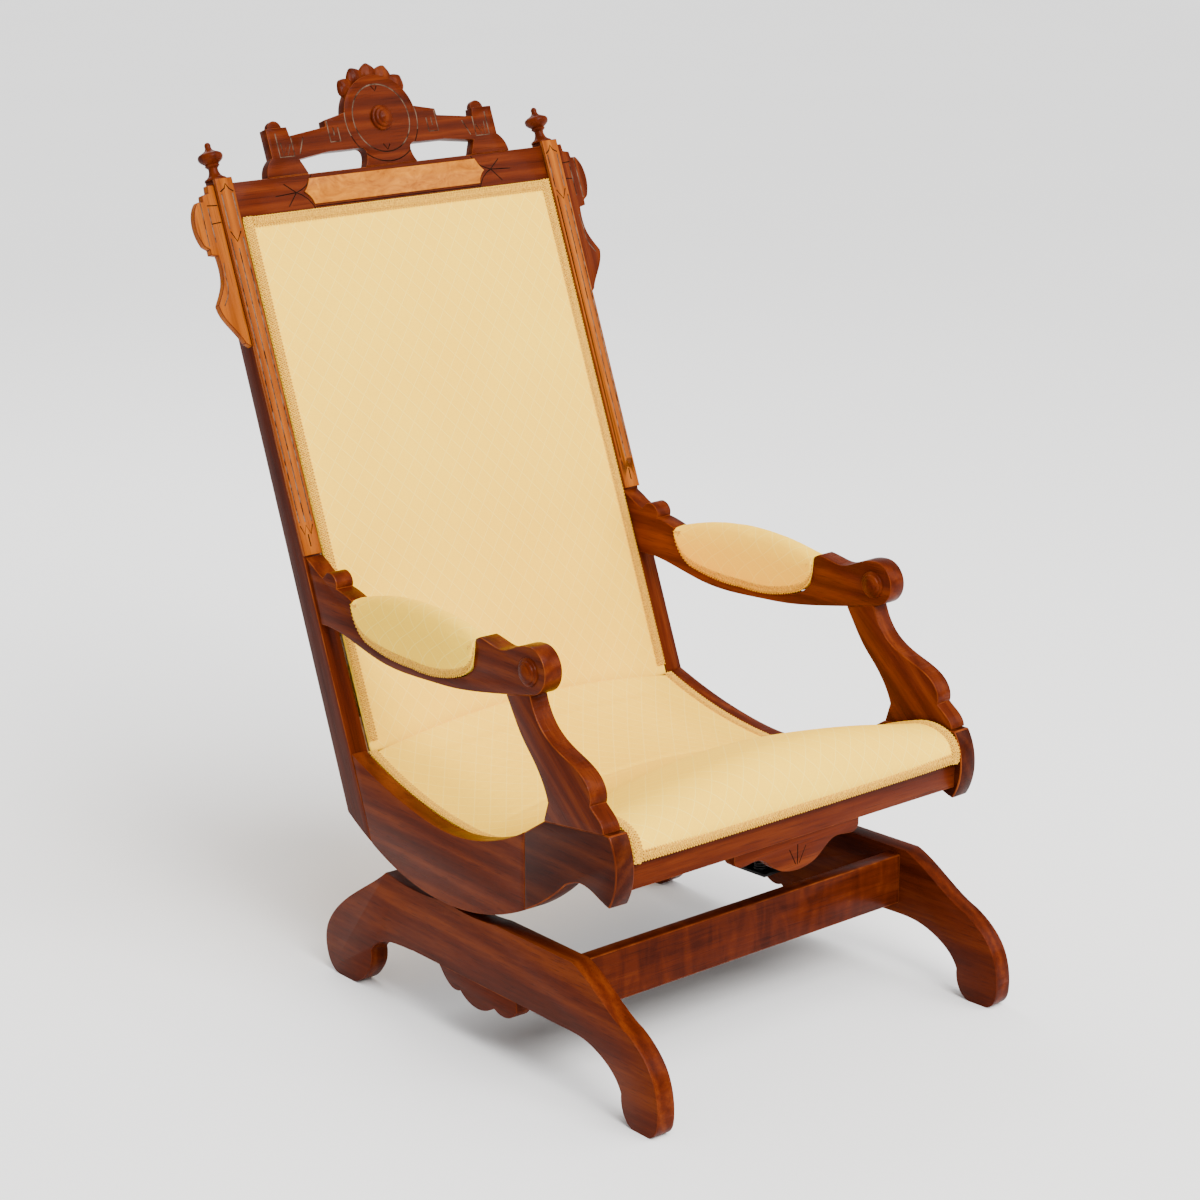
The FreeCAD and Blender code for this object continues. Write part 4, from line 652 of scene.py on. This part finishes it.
for side, word in SIDES:
    places = []
    for out, way in ((1.5, 1), (-24.5, -1)):
        turn = Matrix.Rotation(side * TAPER, 4, "Z") @ Matrix.Rotation(side * way * math.radians(90), 4, "Y")
        places.append(Matrix.Translation(along_side(side, out, 151.0, 518.0)) @ turn)
    piece = turned("turned_arm_bosses_" + word, rings_and_point(17.5, 11.0), places)
    piece.data.materials.append(WALNUT["raked"])
    fit(piece, "chair", "walnut", "arm_bosses_" + word)
petals()
FACING_OUT = Matrix.Rotation(math.radians(90), 4, "X")
place = Matrix.Translation(leaning(*ROUNDEL, CREST_FACE)) @ UPRIGHT_ON_BACK @ FACING_OUT
piece = turned("turned_crest_boss", rings_and_point(17.0, 13.0), [place])
piece.data.materials.append(WALNUT["up_the_back"])
fit(piece, "chair", "walnut", "crest_boss")


# Upholstery: each pad is blown up a little inside its tacked edges

def seat_line(crown=0.0, sink=2.5, steps=14):
    """The seat's upper line from the rear to the front edge, as y and z."""
    c = crown
    p = [(520, 319 - sink + 0.75 * c), (408, 284 - sink + 0.75 * c), (299.3, 271 - sink + c),
         (214.3, 287 - sink + 1.4 * c), (150, 325 - sink + 1.3 * c), (105, 344 - sink + 1.2 * c),
         (55, 360 - sink + 1.15 * c), (30, 361 - sink + 1.2 * c), (12 - 0.1 * c, 356 - sink + 1.15 * c),
         (-2 - 0.2 * c, 344 - sink + 0.9 * c), (-5, 317)]
    line = []
    for first in range(0, 10, 2):
        line += bowed(*p[first:first + 3], steps)[:-1]
    return line + [p[-1]]


def ease(value, low, high):
    t = np.clip((value - low) / (high - low), 0, 1)
    return t * t * (3 - 2 * t)


def ways_of(piece):
    flat = np.empty(len(piece.data.vertices) * 3)
    piece.data.vertices.foreach_get("normal", flat)
    return flat.reshape(-1, 3)


def blown_up(piece, free, start, most, pressure=4.0):
    """Draws a pad in by start where it is free of its tacks, then blows it up as cloth by up to most."""
    rest = corners_of(piece)
    ways = ways_of(piece)
    drawn_in = rest - ways * (free * start * MM)[:, None]
    set_corners(piece, drawn_in)
    tacks = piece.vertex_groups.new(name="tacks")
    for number, share in enumerate(free):
        tacks.add([number], float(1 - share), "REPLACE")
    cloth = piece.modifiers.new("cloth", "CLOTH")
    cloth.settings.use_pressure = True
    cloth.settings.uniform_pressure_force = pressure
    cloth.settings.effector_weights.gravity = 0
    cloth.settings.vertex_group_mass = "tacks"
    cloth.settings.tension_stiffness = 20
    cloth.settings.compression_stiffness = 20
    for step in range(1, 21):
        bpy.context.scene.frame_set(step)
    take(piece)
    bpy.ops.object.modifier_apply(modifier=cloth.name)
    moved = corners_of(piece) - drawn_in
    length = np.linalg.norm(moved, axis=1)
    scale = np.minimum(1, most * MM / np.maximum(length, 1e-9)) * (free > 0.001)
    set_corners(piece, drawn_in + moved * scale[:, None])
    bpy.context.scene.frame_set(1)
    piece.vertex_groups.clear()


def map_cloth(piece, across, along):
    """The piece's own map, in metres of cloth."""
    layer = piece.data.uv_layers.new(name="cloth")
    corner = np.empty(len(piece.data.loops), np.int32)
    piece.data.loops.foreach_get("vertex_index", corner)
    layer.data.foreach_set("uv", np.c_[across[corner], along[corner]].astype(np.float32).ravel())


def quilted_grid(name, columns, rows):
    """A closed slab of even squares: its upper side lies at 0 and its lower side at -1."""
    put_down()
    bpy.ops.mesh.primitive_grid_add(x_subdivisions=columns, y_subdivisions=rows, size=2, calc_uvs=False)
    piece = bpy.context.object
    piece.name = name
    bpy.ops.object.mode_set(mode="EDIT")
    bpy.ops.mesh.select_all(action="SELECT")
    bpy.ops.mesh.extrude_region_move(TRANSFORM_OT_translate={"value": (0, 0, -1)})
    bpy.ops.object.mode_set(mode="OBJECT")
    return piece


def laid(piece, places, across, along):
    """Sets the slab's corners on the chair, turns its faces outward and gives it its cloth map."""
    set_corners(piece, places)
    take(piece)
    bpy.ops.object.mode_set(mode="EDIT")
    bpy.ops.mesh.select_all(action="SELECT")
    bpy.ops.mesh.normals_make_consistent(inside=False)
    bpy.ops.object.mode_set(mode="OBJECT")
    map_cloth(piece, across, along)


def upholstered(piece, node):
    apply(piece, "SUBSURF", levels=1, render_levels=1)
    piece.data.materials.append(CLOTH)
    fit(smooth(piece, 70), "chair", "upholstery", node)


def seat_pad():
    """The seat: it follows the sills, crowned across, rolls over the front rail and stops at the blocks."""
    piece = quilted_grid("stuffed_seat", 90, 112)
    share, row, level = corners_of(piece).T
    middle = np.array(seat_line(15))
    run = np.r_[0, np.cumsum(np.linalg.norm(np.diff(middle, axis=0), axis=1))]
    along = (row + 1) / 2 * run[-1]
    index = np.interp(along, run, np.arange(len(run)))
    keys = [0, 7, 14, 21, 28, 35, 42, 50, 60, 63, 70]
    below = [(510, 294), (408, 259), (299.3, 246), (214.3, 262), (150, 300), (105, 319), (55, 335),
             (24, 340.4), (8, 340.4), (-0.9, 340.4), (-0.9, 317)]
    under_y, under_z = (np.interp(index, keys, [p[k] for p in below]) for k in (0, 1))
    y, z = np.zeros(len(row)), np.zeros(len(row))
    for value in np.unique(share):
        here = share == value
        line = np.array(seat_line(SEAT_CROWN * max(0.0, 1 - (abs(value) * 276 / SEAT_HALF) ** 2)))
        y[here] = np.interp(index[here], np.arange(len(line)), line[:, 0])
        z[here] = np.interp(index[here], np.arange(len(line)), line[:, 1])
    upper = level > -0.5
    y, z = np.where(upper, y, under_y), np.where(upper, z, under_z)
    out = np.interp(y, [164.6, 168.0], [-28.6, -22.6])
    x = share * (HALF_FRONT + out * math.cos(TAPER) - y * math.sin(TAPER))
    places = np.c_[x * MM, (y + np.abs(share) * out * math.sin(TAPER)) * MM + FRONT, z * MM]
    laid(piece, places, x * MM, along * MM)
    room = SEAT_HALF - y * math.tan(TAPER) - np.abs(x)
    free = ease(room, 0, 45) * ease(-y, -512, -470) * np.where(y < 30, ease(z, 333, 352), 1) * upper
    blown_up(piece, free, 3.0, 7.0)
    upholstered(piece, "seat_cushion")


def back_pad():
    """The back between the stiles: crowned both ways inside its flat edges."""
    piece = quilted_grid("stuffed_back", 86, 116)
    share, row, level = corners_of(piece).T
    s = 337 + (row + 1) / 2 * 706
    x = share * BACK_HALF
    n = np.zeros(len(row))
    for value in np.unique(share):
        here = share == value
        c = max(16 * (1 - (abs(value) * BACK_HALF / BACK_FREE_HALF) ** 2), 0.6)
        p = [(337, -2.5), (412.4, -2.5 + 0.6 * c), (502.5, -2.5 + 0.92 * c), (696.5, -2.5 + c),
             (911.3, -2.5 + 0.9 * c), (973.7, -2.5 + 0.62 * c), (1028, -2.5)]
        line = np.array(bowed(*p[0:3], 12) + bowed(*p[2:5], 12)[1:] + bowed(*p[4:7], 12)[1:])
        n[here] = np.interp(s[here], line[:, 0], line[:, 1])
    upper = level > -0.5
    n = np.where(upper, n, np.where(s > 1008, -4.6, -6.9))
    y = STILE_FOOT + s * math.sin(LEAN) - n * math.cos(LEAN)
    places = np.c_[x * MM, y * MM + FRONT, (s * math.cos(LEAN) + n * math.sin(LEAN)) * MM]
    laid(piece, places, x * MM, s * MM)
    free = ease(BACK_FREE_HALF - np.abs(x), 0, 45) * ease(1028 - s, 0, 45) * ease(s, 356, 396) * upper
    blown_up(piece, free, 2.0, 6.0)
    upholstered(piece, "back_cushion")


seat_pad()
back_pad()


PAD_HOLLOW = [(513, 520.3), (502, 494.3), (481, 478.3), (440, 470.3), (384, 468.3), (322, 471.3),
              (285, 481.3), (262, 498.3), (255, 524.3)]


def arm_pad(side, word):
    """A pad over an arm's tongue, round on top and tacked along its lower edge."""
    piece = blank("arm_pad_" + word, "stuffed_arm_pad_" + word)
    apply(piece, "REMESH", mode="VOXEL", voxel_size=3.5 * MM)
    apply(piece, "SMOOTH", factor=0.5, iterations=3)
    places = corners_of(piece)
    y = (places[:, 1] - FRONT) / MM
    rise = places[:, 2] / MM - np.interp(y, *zip(*sorted(PAD_HOLLOW)))
    free = ease(rise, 11, 24) * ease(ways_of(piece)[:, 2], -0.5, 0.2)
    blown_up(piece, free, 1.0, 3.0)
    near, far = along_side(side, PAD_MIDDLE, 0, 0)[0], along_side(side, PAD_MIDDLE, 1000, 0)[0]
    off = places[:, 0] / MM - (near + (far - near) * y / 1000) / MM
    map_cloth(piece, np.arctan2(off, places[:, 2] / MM - 510) * 26 * MM, y * MM)
    upholstered(piece, "arm_pad_" + word)


for side, word in SIDES:
    arm_pad(side, word)


# Braid: three plaited cords between two looped edges, on a tape of darker gold that is painted shade under
# the cords

def evenly(points, outs, step):
    points, outs = np.array(points, float), np.array(outs, float)
    run = np.r_[0, np.cumsum(np.linalg.norm(np.diff(points, axis=0), axis=1))]
    at = np.linspace(0, run[-1], max(int(run[-1] / step), 2))
    points = np.c_[tuple(np.interp(at, run, points[:, k]) for k in range(3))]
    outs = np.c_[tuple(np.interp(at, run, outs[:, k]) for k in range(3))]
    forward = np.gradient(points, axis=0)
    forward /= np.linalg.norm(forward, axis=1)[:, None]
    outs -= forward * np.sum(outs * forward, axis=1)[:, None]
    outs /= np.linalg.norm(outs, axis=1)[:, None]
    return at, points, outs, np.cross(forward, outs)


def braid(name, runs, body, *nodes):
    """Each run is a line of points on the cloth and the way out of it at each."""
    plaits, loops, tapes = [], [], []
    for points, outs in runs:
        at, middle, out, across = evenly(points, outs, 0.8 * MM)
        for k in range(3):
            turn = (math.tau * (at / 0.0096 + k / 3))[:, None]
            height = (1.2 + 0.6 * np.sin(2 * turn)) * MM
            plaits.append(middle + across * np.sin(turn) * 3.5 * MM + out * height)
        for edge in (-1, 1):
            turn = (math.tau * at / 0.0044)[:, None]
            loops.append(middle + across * edge * (5.4 + 1.5 * np.cos(turn)) * MM + out * 0.9 * MM)
        at, middle, out, across = evenly(points, outs, 6 * MM)
        mesh = bpy.data.meshes.new(name + "_tape")
        rows = np.concatenate([middle + across * k * 5.6 * MM + out * 0.55 * MM for k in (-1, 1)])
        count = len(middle)
        mesh.from_pydata(rows.tolist(), [], [(k, k + 1, count + k + 1, count + k) for k in range(count - 1)])
        tape = bpy.data.objects.new(name + "_tape", mesh)
        bpy.context.scene.collection.objects.link(tape)
        # Darker tape colour: painted shade between and under the cords.
        tape.data.materials.append(SHADED_BRAID_TAPE)
        tapes.append(apply(tape, "SOLIDIFY", thickness=0.5 * MM, offset=0))
    cords = [rods(name + "_plaits", plaits, 1.15 * MM, 0), rods(name + "_loops", loops, 0.85 * MM, 0)]
    for cord in cords:
        cord.data.materials.clear()
        cord.data.materials.append(GOLD_BRAID)
    whole = join(name, cords + tapes)
    return fit(smooth(whole, 60), body, "gimp", *nodes)


def outward(line):
    """The way square to a line of y and z, up from a seat."""
    ways = np.gradient(np.array(line), axis=0)
    ways = np.c_[ways[:, 1], -ways[:, 0]]
    return ways / np.linalg.norm(ways, axis=1)[:, None]


seat_edge = seat_line()
seat_runs = []
for side, word in SIDES:
    ways = outward(seat_edge)
    points, outs = [], []
    for (y, z), (way_y, way_z) in zip(seat_edge, ways):
        out = -29.8 - 6.0 * float(ease(-y, -176, -152))
        points.append(along_side(side, out, y, z))
        outs.append((0, way_y, way_z))
    seat_runs.append((points, outs))


def roll_front(x, z):
    """How far forward the stuffed roll stands at x, low on its front."""
    low_arc = seat_line(SEAT_CROWN * max(0.0, 1 - (x / SEAT_HALF) ** 2))[56:]
    heights = [height for y, height in low_arc]
    return float(np.interp(-z, [-height for height in heights], [y for y, height in low_arc]))


bottom = [standing(x, roll_front(x, 324.5) - 0.4, 324.5) for x in np.linspace(-262, 262, 21)]
seat_runs.append((bottom, [(0, -1, 0)] * 21))
braid("seat_braid", seat_runs, "chair", "seat_gimp")

out_of_back = (leaning(0, 0, 1) - leaning(0, 0, 0)).normalized()
back_runs = [([leaning(side * 249.3, s, -1.9) for s in (352, 700, 1043)], [out_of_back] * 3)
             for side, _ in SIDES]
back_runs.append(([leaning(x, 1035.5, -1.9) for x in (-242, 0, 242)], [out_of_back] * 3))
braid("back_braid", back_runs, "chair", "back_gimp")

for side, word in SIDES:
    lower = []
    for first in range(0, 8, 2):
        lower += bowed(*PAD_HOLLOW[first:first + 3], 10)[:-1]
    lower += [PAD_HOLLOW[-1]]
    rise = outward(lower)
    runs = []
    for face in (1, -1):
        points = [along_side(side, PAD_MIDDLE + face * (13.6 + 0.22 * 6), y + way[0] * 6.4, z + way[1] * 6.4)
                  for (y, z), way in zip(lower, rise)]
        way_out = (along_side(side, face, 0, 0) - along_side(side, 0, 0, 0)).normalized()
        runs.append((points, [way_out] * len(points)))
    braid("arm_braid_" + word, runs, "chair", "arm_gimp_" + word)


# Springs, brackets and screws

def coil(x, y, low):
    turns = 24 * 16
    return [(x + 8.5 * MM * math.cos(math.tau * k / 16), y + 8.5 * MM * math.sin(math.tau * k / 16),
             (low + 3.8 * k / 16) * MM) for k in range(turns + 1)]


for side, word in SIDES:
    coils = []
    for y in (317.0, 343.0):
        middle = along_side(side, -4.0 - 46.0, y, 0)
        coils.append(coil(middle[0], middle[1], 90.0))
    springs = smooth(rods("coiled_springs_" + word, coils, 1.5 * MM, 2), 60)
    springs.data.materials.append(SPRING_STEEL)
    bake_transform(springs)
    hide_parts("springs_" + word)
    for level, body in (("lower", "base"), ("upper", "chair")):
        node = "spring_%s_bracket_%s" % (level, word)
        bracket = blank(node, "iron_" + node)
        bracket.data.materials.append(IRON)
        apply(bracket, "BEVEL", width=0.6 * MM, segments=2, limit_method="ANGLE",
              angle_limit=math.radians(40))
        fit(smooth(bracket), body, "iron", node)


# Pieces whose solids are right as they are

KEPT = {
    "back_lower_rail": FRAME_WOOD, "seat_rear_rail": FRAME_WOOD, "corner_blocks": FRAME_WOOD,
    "seat_batten_left": FRAME_WOOD_LONG, "seat_batten_right": FRAME_WOOD_LONG,
    "seat_webbing": JUTE, "back_webbing": JUTE,
    "bracket_screws_base": SCREW_STEEL, "bracket_screws_chair": SCREW_STEEL,
}
for node, finish in KEPT.items():
    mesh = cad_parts[node].data
    mesh.materials.clear()
    mesh.materials.append(finish)

panel = blank("outside_back_panel", "covered_back_panel")
panel.data.materials.append(BACK_CLOTH)
apply(panel, "BEVEL", width=0.8 * MM, segments=2, limit_method="ANGLE", angle_limit=math.radians(40))
fit(smooth(panel), "chair", "back_cloth", "outside_back_panel")

under = blank("dust_cloth", "stretched_dust_cloth")
under.data.materials.append(BLACK_CLOTH)
fit(smooth(under), "chair", "dust_cloth", "dust_cloth")


# Studio

def studio():
    put_down()
    bpy.ops.mesh.primitive_plane_add(size=90, location=(20, 20, 0))
    floor = bpy.context.object
    floor.name = "floor"
    finish, tree, shader = finish_called("pale_floor")
    place = tree.nodes.new("ShaderNodeTexCoord").outputs["Object"]
    faint = add(tree, "ShaderNodeTexNoise", {"Vector": place, "Scale": 0.8}).outputs["Fac"]
    tree.links.new(ramp(tree, faint, [(0.0, (0.88, 0.88, 0.88)), (1.0, (0.92, 0.92, 0.92))]),
                   shader.inputs["Base Color"])
    shader.inputs["Roughness"].default_value = 0.9
    shader.inputs["Specular IOR Level"].default_value = 0.1
    floor.data.materials.append(finish)
    world = bpy.data.worlds.new("studio")
    world.use_nodes = True
    world.node_tree.nodes["Background"].inputs[0].default_value = (1.0, 0.99, 0.975, 1.0)
    world.node_tree.nodes["Background"].inputs[1].default_value = 0.75
    bpy.context.scene.world = world
    middle = Vector((0, 0, 0.55))
    for place, size, power, colour in (((-0.9, -4.0, 3.4), 1.6, 190, (1.0, 0.97, 0.93)),
                                       ((2.8, -2.6, 2.2), 2.2, 60, (1.0, 0.98, 0.95)),
                                       ((0.6, 2.6, 3.0), 1.8, 60, (1.0, 1.0, 1.0))):
        bpy.ops.object.light_add(type="AREA", location=place)
        lamp = bpy.context.object
        lamp.data.size = size
        lamp.data.energy = power
        lamp.data.color = colour
        lamp.rotation_euler = (middle - Vector(place)).to_track_quat("-Z", "Y").to_euler()
    bpy.ops.object.light_add(type="SUN", location=(0, -2, 4))
    daylight = bpy.context.object
    daylight.data.energy = 4.6
    daylight.data.angle = math.radians(50)
    daylight.rotation_euler = Vector((0.0, 0.55, -0.83)).to_track_quat("-Z", "Y").to_euler()
    turn = (math.radians(73.99), 0, math.radians(-41.14))
    bpy.ops.object.camera_add(location=(-2.5482, -2.9335, 1.6138), rotation=turn)
    camera = bpy.context.object
    camera.data.sensor_width = 36
    camera.data.lens = 94.26
    bpy.context.scene.camera = camera


studio()
